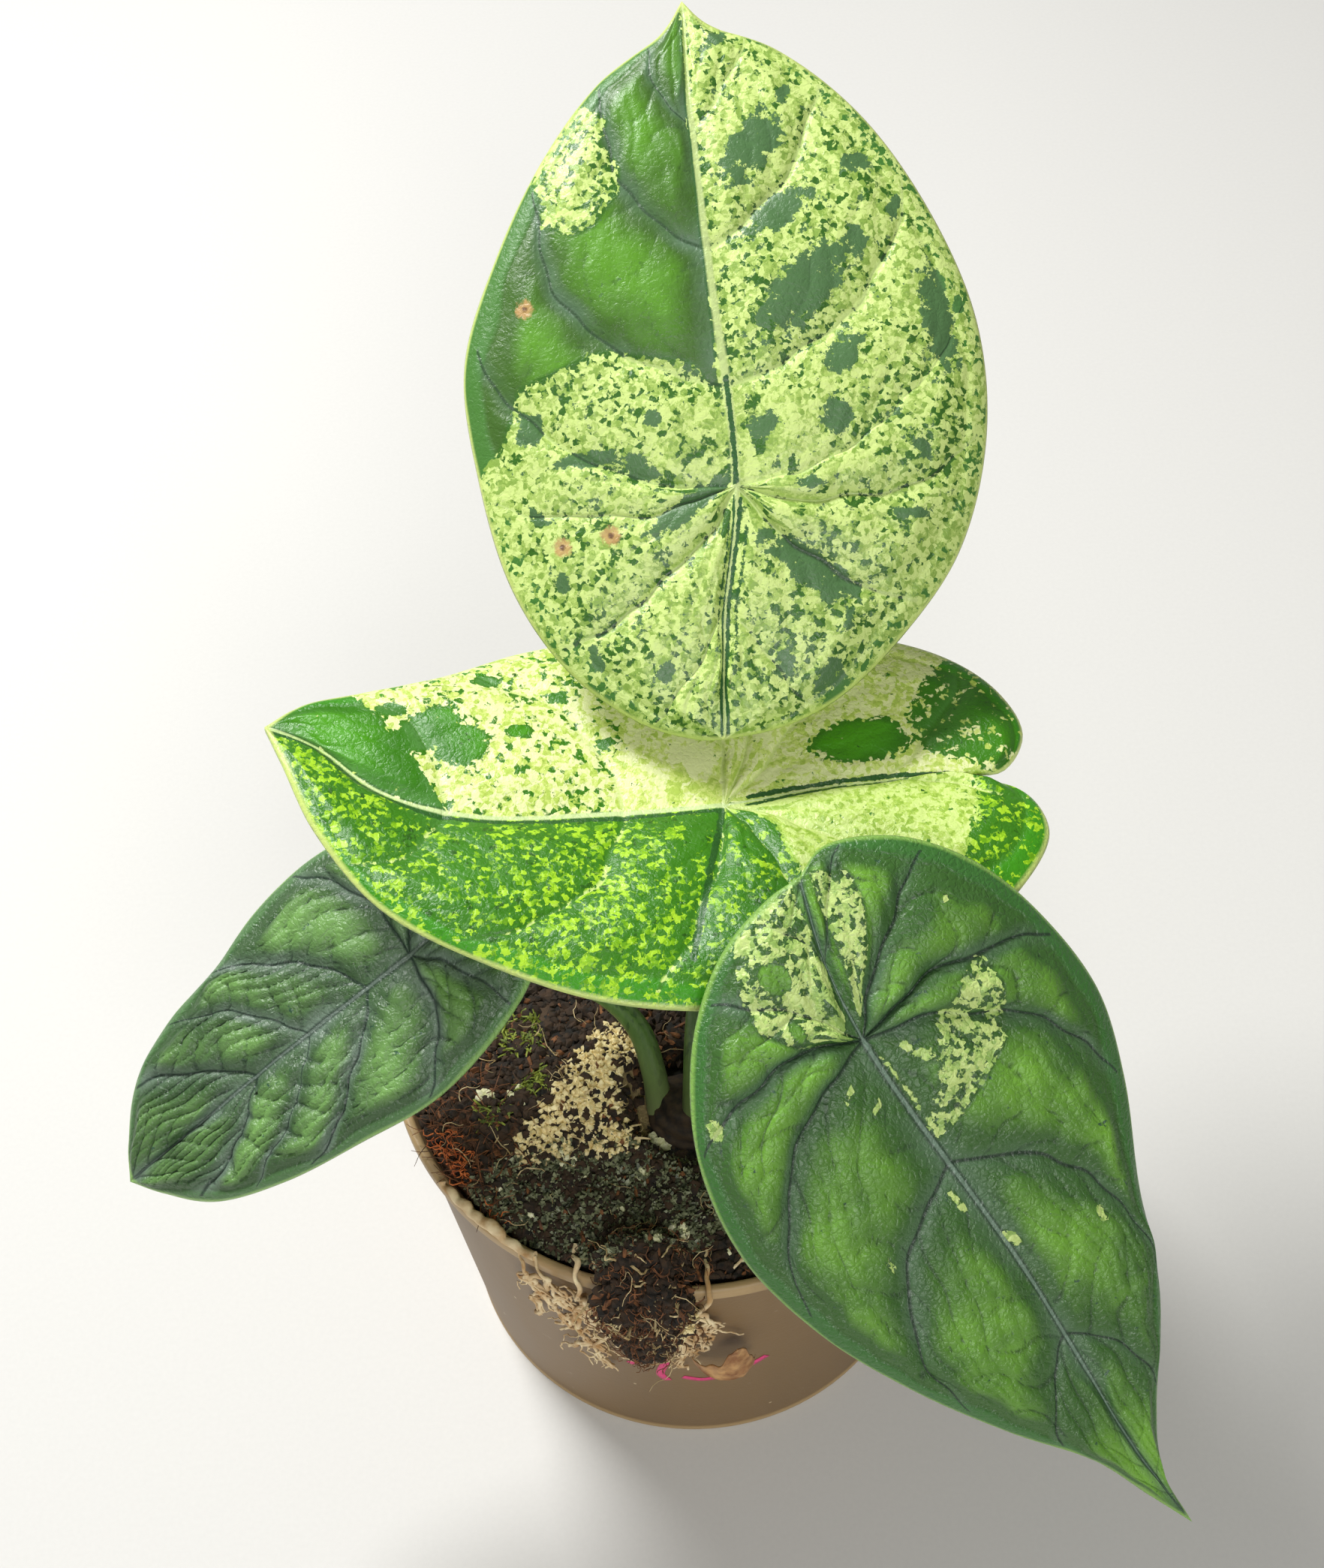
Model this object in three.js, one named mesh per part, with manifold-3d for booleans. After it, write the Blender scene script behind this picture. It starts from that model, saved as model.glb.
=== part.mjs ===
import * as THREE from "three";
import { mergeVertices } from "three/addons/utils/BufferGeometryUtils.js";
import Module from "manifold-3d";

// A dragon scale alocasia in a small nursery pot. Millimetres, +Z up, origin at the centre of the
// pot's base. The plant leans a little, and its front faces -Y.

const wasm = await Module();
wasm.setup();

// Driving dimensions
const GAP = 0.3; // clearance between touching pieces
const POT_RIM_RADIUS = 60;
const POT_BASE_RADIUS = 51.4;
const POT_HEIGHT = 89;
const POT_WALL = 1.2;
const LIP_WIDTH = 1.9;
const LIP_HEIGHT = 3.8;
const FOOT_HEIGHT = 1.6;
const FLOOR_RAISE = 2;
const DRAIN_HOLES = 8;
const DRAIN_HOLE_RADIUS = 4;
const DRAIN_RING_RADIUS = 31;
const ROUND_SIDES = 44; // sides of the pot and of the mix in it
const MIX_LEVEL = 86.5; // height of the mix beside the lip
const CROWN = [0.5, -20.5];
const CROWN_TOP = 97;
const PETIOLE_BASE_RADIUS = 2.9;
const PETIOLE_TOP_RADIUS = 1.7;
const BLADE_THICKNESS = 0.9;
const PANEL_RISE = 1.3; // height of the swelling between two side veins
const EDGE_DROP = 1.5; // how far the smooth edge strip turns down
const degrees = Math.PI / 180;

// Solids and joins

function solidOf(geometry) {
  const bare = geometry.clone();
  bare.deleteAttribute("normal");
  bare.deleteAttribute("uv");
  const merged = mergeVertices(bare, 1e-4);
  const index = merged.index.array;
  const kept = [];
  for (let i = 0; i < index.length; i += 3) {
    const [a, b, c] = [index[i], index[i + 1], index[i + 2]];
    if (a !== b && b !== c && c !== a) kept.push(a, b, c);
  }
  return new wasm.Manifold(
    new wasm.Mesh({
      numProp: 3,
      vertProperties: merged.attributes.position.array,
      triVerts: new Uint32Array(kept),
    }),
  );
}

function geometryOf(solid) {
  const mesh = solid.getMesh();
  const geometry = new THREE.BufferGeometry();
  geometry.setAttribute("position", new THREE.BufferAttribute(mesh.vertProperties, 3));
  geometry.setIndex(new THREE.BufferAttribute(mesh.triVerts, 1));
  geometry.computeVertexNormals();
  return geometry;
}

function join(solids) {
  return solids.reduce((whole, next) => whole.add(next));
}

// A seeded draw between 0 and 1, so that the scattered lumps are the same at every build.
function seeded(seed) {
  let state = seed;
  return () => {
    state = (state * 1664525 + 1013904223) % 4294967296;
    return state / 4294967296;
  };
}

const group = new THREE.Group();

function place(name, solid, color, roughness) {
  const material = new THREE.MeshStandardMaterial({ color, roughness, metalness: 0 });
  const mesh = new THREE.Mesh(geometryOf(solid), material);
  mesh.name = name;
  group.add(mesh);
}

function smoothPath(points) {
  return new THREE.CatmullRomCurve3(
    points.map((p) => new THREE.Vector3(...p)),
    false,
    "centripetal",
  );
}

// A tapered tube along a smooth path: an extruded ring whose sections are drawn in towards the path.
function taperedTube(points, startRadius, endRadius, sides, steps) {
  const path = smoothPath(points);
  const ring = [];
  for (let i = 0; i < sides; i++) {
    const angle = (2 * Math.PI * i) / sides;
    ring.push(new THREE.Vector2(startRadius * Math.cos(angle), startRadius * Math.sin(angle)));
  }
  const tube = new THREE.ExtrudeGeometry(new THREE.Shape(ring), { steps, extrudePath: path });
  const centres = path.getSpacedPoints(steps);
  const position = tube.getAttribute("position");
  const vertex = new THREE.Vector3();
  for (let i = 0; i < position.count; i++) {
    vertex.fromBufferAttribute(position, i);
    let nearest = 0;
    centres.forEach((centre, k) => {
      if (centre.distanceTo(vertex) < centres[nearest].distanceTo(vertex)) nearest = k;
    });
    const taper = 1 + (endRadius / startRadius - 1) * (nearest / steps);
    vertex.sub(centres[nearest]).multiplyScalar(taper).add(centres[nearest]);
    position.setXYZ(i, vertex.x, vertex.y, vertex.z);
  }
  return solidOf(tube);
}

// A root strand. grow makes the hole that it lies in: wider, and longer at both ends.
function strand(points, startRadius, endRadius, grow, steps) {
  const path = points.map((p) => new THREE.Vector3(...p));
  const lengthened = (end, next) => end.clone().add(end.clone().sub(next).setLength(grow));
  const first = grow ? lengthened(path[0], path[1]) : path[0];
  const last = grow ? lengthened(path.at(-1), path.at(-2)) : path.at(-1);
  const grown = [first, ...path.slice(1, -1), last].map((v) => v.toArray());
  return taperedTube(grown, startRadius + grow, endRadius + grow, 5, steps);
}

// A lump: a low polyhedron with seeded corners, stretched on three axes and turned.
function lump(x, y, z, sizes, draw) {
  const ball = new THREE.IcosahedronGeometry(1, 0);
  ball.deleteAttribute("normal");
  ball.deleteAttribute("uv");
  const body = mergeVertices(ball, 1e-4);
  const position = body.getAttribute("position");
  for (let i = 0; i < position.count; i++) {
    const stretch = 0.8 + 0.4 * draw();
    const [px, py, pz] = [position.getX(i), position.getY(i), position.getZ(i)];
    position.setXYZ(i, px * stretch, py * stretch, pz * stretch);
  }
  body.scale(...sizes);
  body.rotateX(0.5 * draw());
  body.rotateZ(Math.PI * draw());
  body.translate(x, y, z);
  return solidOf(body);
}

// Pot: thin taupe plastic, turned about its axis, with a rolled lip, a foot ring, a raised floor
// with a centre pad, and drainage holes between the pad and the ring.

const wallTop = POT_HEIGHT - LIP_HEIGHT;
const wallFoot = POT_BASE_RADIUS - 0.4;
const wallFlare = (POT_RIM_RADIUS - LIP_WIDTH + 0.1 - wallFoot) / wallTop;
const wallRadius = (z, inset = 0) => wallFoot + wallFlare * z - inset;

const potOutside = [
  [POT_BASE_RADIUS, 0],
  [POT_BASE_RADIUS - 0.1, FOOT_HEIGHT],
  [wallRadius(FOOT_HEIGHT + 0.4), FOOT_HEIGHT + 0.4],
  [wallRadius(wallTop), wallTop],
  [POT_RIM_RADIUS - 0.5, wallTop + 0.1],
  [POT_RIM_RADIUS, wallTop + 0.8],
  [POT_RIM_RADIUS, POT_HEIGHT - 0.9],
  [POT_RIM_RADIUS - 0.9, POT_HEIGHT],
];
const potInside = [
  [POT_RIM_RADIUS - LIP_WIDTH, POT_HEIGHT - 0.3],
  [wallRadius(wallTop, POT_WALL), wallTop],
  [wallRadius(FLOOR_RAISE + POT_WALL, POT_WALL), FLOOR_RAISE + POT_WALL],
];

function turned(profile, segments) {
  const points = profile.map(([r, z]) => new THREE.Vector2(r, z));
  return solidOf(new THREE.LatheGeometry(points, segments).rotateX(Math.PI / 2));
}

function makePot() {
  const floorUnderside = [
    [14, FLOOR_RAISE],
    [47, FLOOR_RAISE],
    [48.5, 0],
  ];
  const pad = [[0, 0], [12, 0]];
  const floorTop = [[0, FLOOR_RAISE + POT_WALL]];
  const profile = [...pad, ...floorUnderside, ...potOutside, ...potInside, ...floorTop];
  let pot = turned(profile, ROUND_SIDES);
  for (let i = 0; i < DRAIN_HOLES; i++) {
    const angle = ((i + 0.5) * 2 * Math.PI) / DRAIN_HOLES;
    const [x, y] = [DRAIN_RING_RADIUS * Math.cos(angle), DRAIN_RING_RADIUS * Math.sin(angle)];
    const drill = new THREE.CylinderGeometry(DRAIN_HOLE_RADIUS, DRAIN_HOLE_RADIUS, 12, 10);
    drill.rotateX(Math.PI / 2).translate(x, y, FLOOR_RAISE);
    pot = pot.subtract(solidOf(drill));
  }
  return pot;
}

// The space kept clear round the pot's wall and lip for what hangs over it.
function makePotClearance() {
  const grown = [
    [wallRadius(0, POT_WALL + 4), -1],
    [POT_BASE_RADIUS + 0.5, -1],
    [POT_BASE_RADIUS + 0.5, FOOT_HEIGHT + 1],
    [wallRadius(wallTop - 0.4) + GAP, wallTop - 0.4],
    [POT_RIM_RADIUS + GAP, wallTop - 0.2],
    [POT_RIM_RADIUS + GAP, POT_HEIGHT - 0.7],
    [POT_RIM_RADIUS - 0.7, POT_HEIGHT + GAP],
    [POT_RIM_RADIUS - LIP_WIDTH - GAP, POT_HEIGHT + GAP],
    [wallRadius(wallTop, POT_WALL) - GAP, wallTop],
    [wallRadius(0, POT_WALL + 4), -1],
  ];
  return turned(grown, ROUND_SIDES);
}

// Leaf blades: each blade is drawn flat, p millimetres along the midrib from the petiole towards the
// tip and q to its left, then bent. The outline runs from the tip to the basal sinus on each side,
// and the axis from the tip through the petiole point to the sinus. A vein is its start on the axis,
// the share of the margin from the tip where it ends, its bow towards the base, and its depth.

const LEAVES = {
  back: {
    at: [15.2, 43.5, 198],
    heading: 96,
    pitch: 38,
    roll: -3,
    arch: [1.5, 1],
    fold: 2,
    curl: 2,
    color: "#a9c86a",
    left: [[91, -3.5], [86.5, 0.5], [78.5, 14], [66, 26], [49.5, 37], [30, 46], [9.5, 46.5],
      [-12.5, 43], [-29, 34.5], [-40, 22.5], [-44, 13], [-44.5, 8.5]],
    right: [[91, -3.5], [87, -7], [80.5, -19.5], [66.5, -33], [46, -43.5], [24.5, -49], [3, -47.5],
      [-17, -39.5], [-31, -26.5], [-40.5, -13], [-44, -2], [-44.5, 8.5]],
    axis: [[91, -3.5], [72, -2], [41, -1], [0, 0], [-23.5, 5.5], [-44.5, 8.5]],
    leftVeins: [[66, 0.06, 0.2, 0.5], [43, 0.12, 0.35, 1], [18, 0.245, 0.45, 1], [0, 0.43, 0.35, 1],
      [0, 0.61, 0.2, 0.5], [0, 0.79, 0.2, 1], [-20, 0.92, 0.1, 0.5]],
    rightVeins: [[66, 0.07, 0.2, 0.5], [43, 0.155, 0.25, 1], [18, 0.28, 0.35, 1], [0, 0.42, 0.3, 0.4],
      [0, 0.56, 0.3, 1], [0, 0.75, 0.2, 1], [-20, 0.9, 0.1, 0.5]],
  },
  middle: {
    at: [9.7, 2.6, 158],
    heading: 176,
    pitch: 4,
    roll: 0,
    arch: [-1, -0.5],
    fold: -12,
    curl: 5,
    color: "#9ccb3f",
    left: [[84, -9.5], [80, -1.5], [72.5, 13], [59.5, 28], [41.5, 37], [20.5, 43], [0, 43.5], [-20, 40],
      [-38, 31.5], [-52, 18], [-58.5, 4.5], [-55.5, -4.5], [-46, -8.5]],
    right: [[84, -9.5], [78, -15.5], [66.5, -20], [53.5, -25.5], [38, -34.5], [20, -40.5], [0, -43],
      [-20, -43], [-39, -38], [-51, -28.5], [-55.5, -18], [-51.5, -10], [-46, -8.5]],
    axis: [[84, -9.5], [74, -6], [62, 2.5], [45, 6], [22, 3.5], [0, 0], [-20, -5], [-46, -8.5]],
    leftVeins: [[50, 0.17, 0.35, 1], [18, 0.28, 0.45, 1], [0, 0.47, 0.15, 1], [0, 0.62, 0.15, 0.5],
      [0, 0.76, 0.15, 0.8], [-28, 0.93, 0.1, 0.6]],
    rightVeins: [[50, 0.1, 0.3, 1], [18, 0.2, 0.35, 1], [0, 0.38, 0.35, 1], [0, 0.53, 0.2, 0.6],
      [0, 0.66, 0.15, 0.8], [-28, 0.8, 0.2, 1]],
  },
  left: {
    at: [-49.3, -13.6, 140],
    heading: 208,
    pitch: -24,
    roll: -16,
    arch: [2.2, 2],
    fold: -8,
    curl: 7,
    color: "#3f6a48",
    left: [[72, -4], [67.5, 2.5], [59.5, 10.5], [45, 17], [28.5, 21], [12, 24], [-4, 22], [-16, 17.5],
      [-25, 10], [-28, 3], [-26, 0]],
    right: [[72, -4], [68, -10], [59, -18], [46, -22.5], [32.5, -24], [20, -27.5], [6, -28.5],
      [-8, -25.5], [-19, -18], [-26, -9], [-28, -3], [-26, 0]],
    axis: [[72, -4], [54, -2.5], [32, -1.5], [0, 0], [-26, 0]],
    leftVeins: [[37, 0.13, 0.3, 1], [24, 0.23, 0.3, 0.4], [10, 0.33, 0.35, 1], [0, 0.55, 0.4, 1],
      [0, 0.75, 0.2, 0.8], [-12, 0.9, 0.1, 0.5]],
    rightVeins: [[37, 0.14, 0.35, 1], [24, 0.25, 0.35, 0.6], [10, 0.36, 0.4, 1], [0, 0.56, 0.3, 0.8],
      [0, 0.73, 0.2, 1], [-12, 0.9, 0.1, 0.5]],
  },
  right: {
    at: [29.9, -46.4, 155],
    heading: -50,
    pitch: -42,
    roll: 14,
    arch: [0.5, 5],
    fold: -4,
    curl: 3.5,
    color: "#3d7a3c",
    left: [[112.5, 4.5], [100, 5], [90, 10], [72, 21.5], [52, 29], [35, 37], [19, 41.5], [1, 39.5],
      [-14, 34], [-25.5, 24.5], [-31, 13], [-29, 6.5]],
    right: [[112.5, 4.5], [103, 0.5], [91, -4.5], [76.5, -14.5], [59, -25], [40, -33.5], [20, -37.5],
      [1, -34.5], [-15.5, -25], [-25.5, -12.5], [-29, 0], [-29, 6.5]],
    axis: [[112.5, 4.5], [93, 2.5], [50, 2.5], [0, 0], [-16, 2], [-29, 6.5]],
    leftVeins: [[66, 0.16, 0.3, 0.8], [27, 0.265, 0.45, 1], [0, 0.49, 0.35, 1], [0, 0.67, 0.25, 1],
      [0, 0.85, 0.15, 0.8], [-14, 0.94, 0.1, 0.4]],
    rightVeins: [[66, 0.17, 0.25, 0.8], [27, 0.27, 0.45, 1], [0, 0.47, 0.35, 1], [0, 0.68, 0.35, 1],
      [0, 0.84, 0.15, 0.6], [-14, 0.94, 0.1, 0.4]],
  },
};

const ACROSS = [0, 0.06, 0.2, 0.38, 0.56, 0.74, 0.88, 0.94, 1]; // lines between axis and margin
const COLLECTIVE_VEIN = 0.88; // where the vein that follows the margin lies

function curveThrough(points) {
  return smoothPath(points.map(([p, q]) => [p, q, 0]));
}

// The axis's sideways offset at p.
function axisOffset(leaf, p) {
  leaf.axisPoints ??= curveThrough(leaf.axis).getPoints(24 * (leaf.axis.length - 1));
  const points = leaf.axisPoints;
  if (p >= points[0].x) return points[0].y;
  for (let i = 1; i < points.length; i++) {
    if (p >= points[i].x) {
      const share = (p - points[i].x) / (points[i - 1].x - points[i].x);
      return points[i].y + share * (points[i - 1].y - points[i].y);
    }
  }
  return points[points.length - 1].y;
}

// Directions of the unbent blade at its petiole: along the midrib, to its left, and its upper normal.
function bladeDirections(leaf) {
  const [a, b, g] = [leaf.heading * degrees, leaf.pitch * degrees, leaf.roll * degrees];
  const along = new THREE.Vector3(Math.cos(b) * Math.cos(a), Math.cos(b) * Math.sin(a), Math.sin(b));
  const level = new THREE.Vector3(-Math.sin(a), Math.cos(a), 0);
  const above = along.clone().cross(level);
  const side = level.clone().multiplyScalar(Math.cos(g)).addScaledVector(above, Math.sin(g));
  const normal = above.multiplyScalar(Math.cos(g)).addScaledVector(level, -Math.sin(g));
  return [along, side, normal];
}

// The bent blade's point h above its surface at p, q: the midrib arches, and each half leaves it at
// the fold angle and curls down with its distance from it.
function bent(leaf, p, q, h) {
  const [along, side, normal] = bladeDirections(leaf);
  const arch = ((p >= 0 ? leaf.arch[0] : leaf.arch[1]) * degrees) / 10;
  const turn = arch * Math.abs(p);
  const way = Math.sign(p);
  const axisX = (way * Math.sin(turn)) / arch;
  const axisZ = -(1 - Math.cos(turn)) / arch;
  const tilt = -way * turn;
  const offset = axisOffset(leaf, p);
  const hand = q - offset >= 0 ? 1 : -1;
  const out = Math.abs(q - offset);
  const fold = leaf.fold * degrees;
  const curl = (leaf.curl * degrees) / 10;
  const width = (Math.sin(fold + curl * out) - Math.sin(fold)) / curl;
  const drop = (Math.cos(fold) - Math.cos(fold + curl * out)) / curl;
  const slope = out < 1e-6 ? 0 : fold + curl * out;
  const rise = h * Math.cos(slope) - drop;
  const x = axisX - Math.sin(tilt) * rise;
  const y = offset + hand * (width + h * Math.sin(slope));
  const z = axisZ + Math.cos(tilt) * rise;
  const foot = new THREE.Vector3(...leaf.at);
  return foot.addScaledVector(along, x).addScaledVector(side, y).addScaledVector(normal, z);
}

// The lines from the axis to the margin on one side: on each vein, and between veins.
function bladeLines(leaf, outline, veins) {
  const margin = curveThrough(outline);
  margin.arcLengthDivisions = 400;
  const ends = [[leaf.axis[0][0], 0, 0, 0.3], ...veins, [leaf.axis.at(-1)[0], 1, 0, 0.3]];
  const lines = [];
  for (let i = 0; i + 1 < ends.length; i++) {
    const [from, to] = [ends[i], ends[i + 1]];
    const marginWay = ((to[1] - from[1]) * margin.getLength()) / 9;
    const axisWay = (from[0] - to[0]) / 7.5;
    const parts = Math.max(3, Math.round(from[0] === to[0] ? marginWay : axisWay));
    for (let k = 0; k < parts; k++) {
      const t = k / parts;
      lines.push({
        start: from[0] + (to[0] - from[0]) * t,
        share: from[1] + (to[1] - from[1]) * t,
        bow: from[2] + (to[2] - from[2]) * t,
        shallow: (1 - from[3]) * (1 - t) + (1 - to[3]) * t,
        swell: Math.sin(Math.PI * t) ** 0.8,
        onVein: k === 0 && i > 0 ? from[3] : 0,
      });
    }
  }
  lines.push({ start: leaf.axis.at(-1)[0], share: 1, bow: 0, shallow: 0.7, swell: 0, onVein: 0 });
  return lines.map((line) => ({ ...line, end: margin.getPointAt(line.share) }));
}

// Height of the upper face and thickness of the blade, at a share s of the way along a line.
function relief(leaf, line, s, length) {
  const fade = Math.min(1, length / 14);
  const inner = Math.min(1, s / 0.16) * Math.min(1, Math.max(0, (COLLECTIVE_VEIN - s) / 0.14));
  const swell = PANEL_RISE * (line.shallow + (1 - line.shallow) * line.swell) * inner;
  const edge = s > COLLECTIVE_VEIN ? EDGE_DROP * ((s - COLLECTIVE_VEIN) / (1 - COLLECTIVE_VEIN)) ** 1.6 : 0;
  const fromTip = Math.min(1, (leaf.axis[0][0] - line.start) / 30);
  const fromSinus = Math.min(1, (line.start - leaf.axis.at(-1)[0]) / 15);
  const midrib = s === 0 ? 1.5 * fromTip * fromSinus : 0;
  const rib = s > 0 && s < 0.9 ? 0.5 * line.onVein * (1 - s) * fade : 0;
  return [(swell - edge) * fade, BLADE_THICKNESS + midrib + rib];
}

function makeBlade(leaf) {
  const corners = [];
  const addTriangle = (a, b, c, turnedOver) => {
    if (turnedOver) corners.push(a, c, b);
    else corners.push(a, b, c);
  };
  const halves = [
    [leaf.left, leaf.leftVeins, 1],
    [leaf.right, leaf.rightVeins, -1],
  ];
  for (const [outline, veins, hand] of halves) {
    const lines = bladeLines(leaf, outline, veins);
    const rows = lines.map((line) => {
      const start = new THREE.Vector2(line.start, axisOffset(leaf, line.start));
      const end = new THREE.Vector2(line.end.x, line.end.y);
      const chord = end.clone().sub(start);
      const length = chord.length();
      const towardsBase = new THREE.Vector2(-chord.y, chord.x).multiplyScalar(hand * line.bow);
      const middle = start.clone().add(end).multiplyScalar(0.5).add(towardsBase);
      return ACROSS.map((s) => {
        const p = (1 - s) ** 2 * start.x + 2 * s * (1 - s) * middle.x + s * s * end.x;
        const q = (1 - s) ** 2 * start.y + 2 * s * (1 - s) * middle.y + s * s * end.y;
        const [height, thickness] = relief(leaf, line, s, length);
        const onAxis = s === 0 ? axisOffset(leaf, p) : q;
        return [bent(leaf, p, onAxis, height), bent(leaf, p, onAxis, height - thickness)];
      });
    });
    const flipped = hand < 0;
    const last = ACROSS.length - 1;
    for (let i = 0; i + 1 < rows.length; i++) {
      for (let j = 0; j < last; j++) {
        const [a, b, c, d] = [rows[i][j], rows[i][j + 1], rows[i + 1][j + 1], rows[i + 1][j]];
        addTriangle(a[0], b[0], c[0], flipped);
        addTriangle(a[0], c[0], d[0], flipped);
        addTriangle(a[1], b[1], c[1], !flipped);
        addTriangle(a[1], c[1], d[1], !flipped);
      }
      const [e, f] = [rows[i][last], rows[i + 1][last]];
      addTriangle(e[0], e[1], f[1], flipped);
      addTriangle(e[0], f[1], f[0], flipped);
    }
  }
  return solidOf(new THREE.BufferGeometry().setFromPoints(corners).setIndex(corners.map((_, i) => i)));
}

// Corm: the short dark crown that the petioles grow from, with stubs of stout roots.
// grow makes the plain hole that it stands in.

function makeCorm(grow) {
  const ball = new THREE.SphereGeometry(1, 12, 10).rotateX(Math.PI / 2);
  const position = ball.getAttribute("position");
  for (let i = 0; i < position.count; i++) {
    const [x, y, z] = [position.getX(i), position.getY(i), position.getZ(i)];
    const ringed = 1 + 0.05 * Math.sin(9 * z) + 0.04 * Math.sin(3 * Math.atan2(y, x) + 2 * z) * (1 - z * z);
    position.setXYZ(i, x * ringed * (9.5 + grow), y * ringed * (9 + grow), z * (13 + grow));
  }
  ball.translate(CROWN[0], CROWN[1], CROWN_TOP - 13);
  const stubs = [15, 85, 160, 235, 305].map((angle, i) => {
    const [c, s] = [Math.cos(angle * degrees), Math.sin(angle * degrees)];
    const drop = 76 - 3 * (i % 2);
    const away = [[4, 80], [9, drop + 2], [14, drop - 3], [18, drop - 10]];
    const points = away.map(([r, z]) => [CROWN[0] + r * c, CROWN[1] + r * s, z]);
    return strand(points, 1.9, 1.2, grow, 4);
  });
  return join([solidOf(ball), ...stubs]);
}

// Petioles: round smooth stems that rise from the top of the corm, bend over and meet the underside
// of the blade at a right angle. The first points are the foot, the last is on the blade.

const PETIOLES = {
  back: [[3.1, -15.6, 88], [3.6, -14, 100], [5, 3, 118], [9, 37, 140], [12.6, 56.5, 163], [15.2, 57, 183]],
  middle: [[1, -23.4, 88], [1.4, -22.6, 100], [2.4, -18, 116], [5.5, -6, 136], [9.2, 1.2, 150]],
  left: [[-5.8, -19.6, 88], [-6.4, -17.5, 99], [-9, -13.5, 110], [-16, -11.5, 121], [-31, -10.5, 131],
    [-44.5, -12.5, 133.5]],
  right: [[6.8, -21.4, 88], [7.4, -22.4, 100], [11, -27.5, 116], [18.5, -35, 133], [26.2, -43, 147]],
};

function makePetiole(name, blade, corm) {
  const leaf = LEAVES[name];
  const normal = bladeDirections(leaf)[2];
  const top = bent(leaf, 0, 0, -BLADE_THICKNESS - 0.7);
  const below = bent(leaf, 0, 0, -BLADE_THICKNESS - 6);
  const points = [...PETIOLES[name], below.toArray(), top.toArray()];
  const tube = taperedTube(points, PETIOLE_BASE_RADIUS, PETIOLE_TOP_RADIUS, 8, 18);
  const lowered = blade.translate(normal.clone().multiplyScalar(-1.5 * GAP).toArray());
  return tube.subtract(corm).subtract(lowered);
}

// Potting mix: one block of coarse bark, coir and grit that fills the pot to its lip and heaps up,
// with a pale heap of granules in front of the crown and a tongue that spills over the lip.

const PALE_HEAP = [-17, -19, 15, 7]; // centre, radius, rise
const SPILL = [-11, -52];

function mixHeight(x, y) {
  const r = Math.hypot(x, y);
  const mound = 5.5 * Math.max(0, 1 - (r / 56) ** 2);
  const hill = (cx, cy, spread) => Math.exp(-((x - cx) ** 2 + (y - cy) ** 2) / spread ** 2);
  const heap = PALE_HEAP[3] * hill(PALE_HEAP[0], PALE_HEAP[1], 0.7 * PALE_HEAP[2]);
  const leftBank = 4.5 * hill(-46, -24, 17);
  const frontBank = 5 * hill(SPILL[0], SPILL[1], 16);
  const rough = 0.9 * Math.sin(x * 0.41 + 1.3 * Math.sin(y * 0.23)) * Math.sin(y * 0.37 + 0.9);
  return MIX_LEVEL + mound + heap + leftBank + frontBank + rough * Math.min(1, (58 - r) / 8);
}

// The plain round pit in the mix that the petioles stand in, over the corm.
function makeCrownPit() {
  const pit = new THREE.CylinderGeometry(13, 11.5, 40, 20).rotateX(Math.PI / 2);
  pit.translate(CROWN[0], CROWN[1], 87 + 20);
  return solidOf(pit);
}

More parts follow.
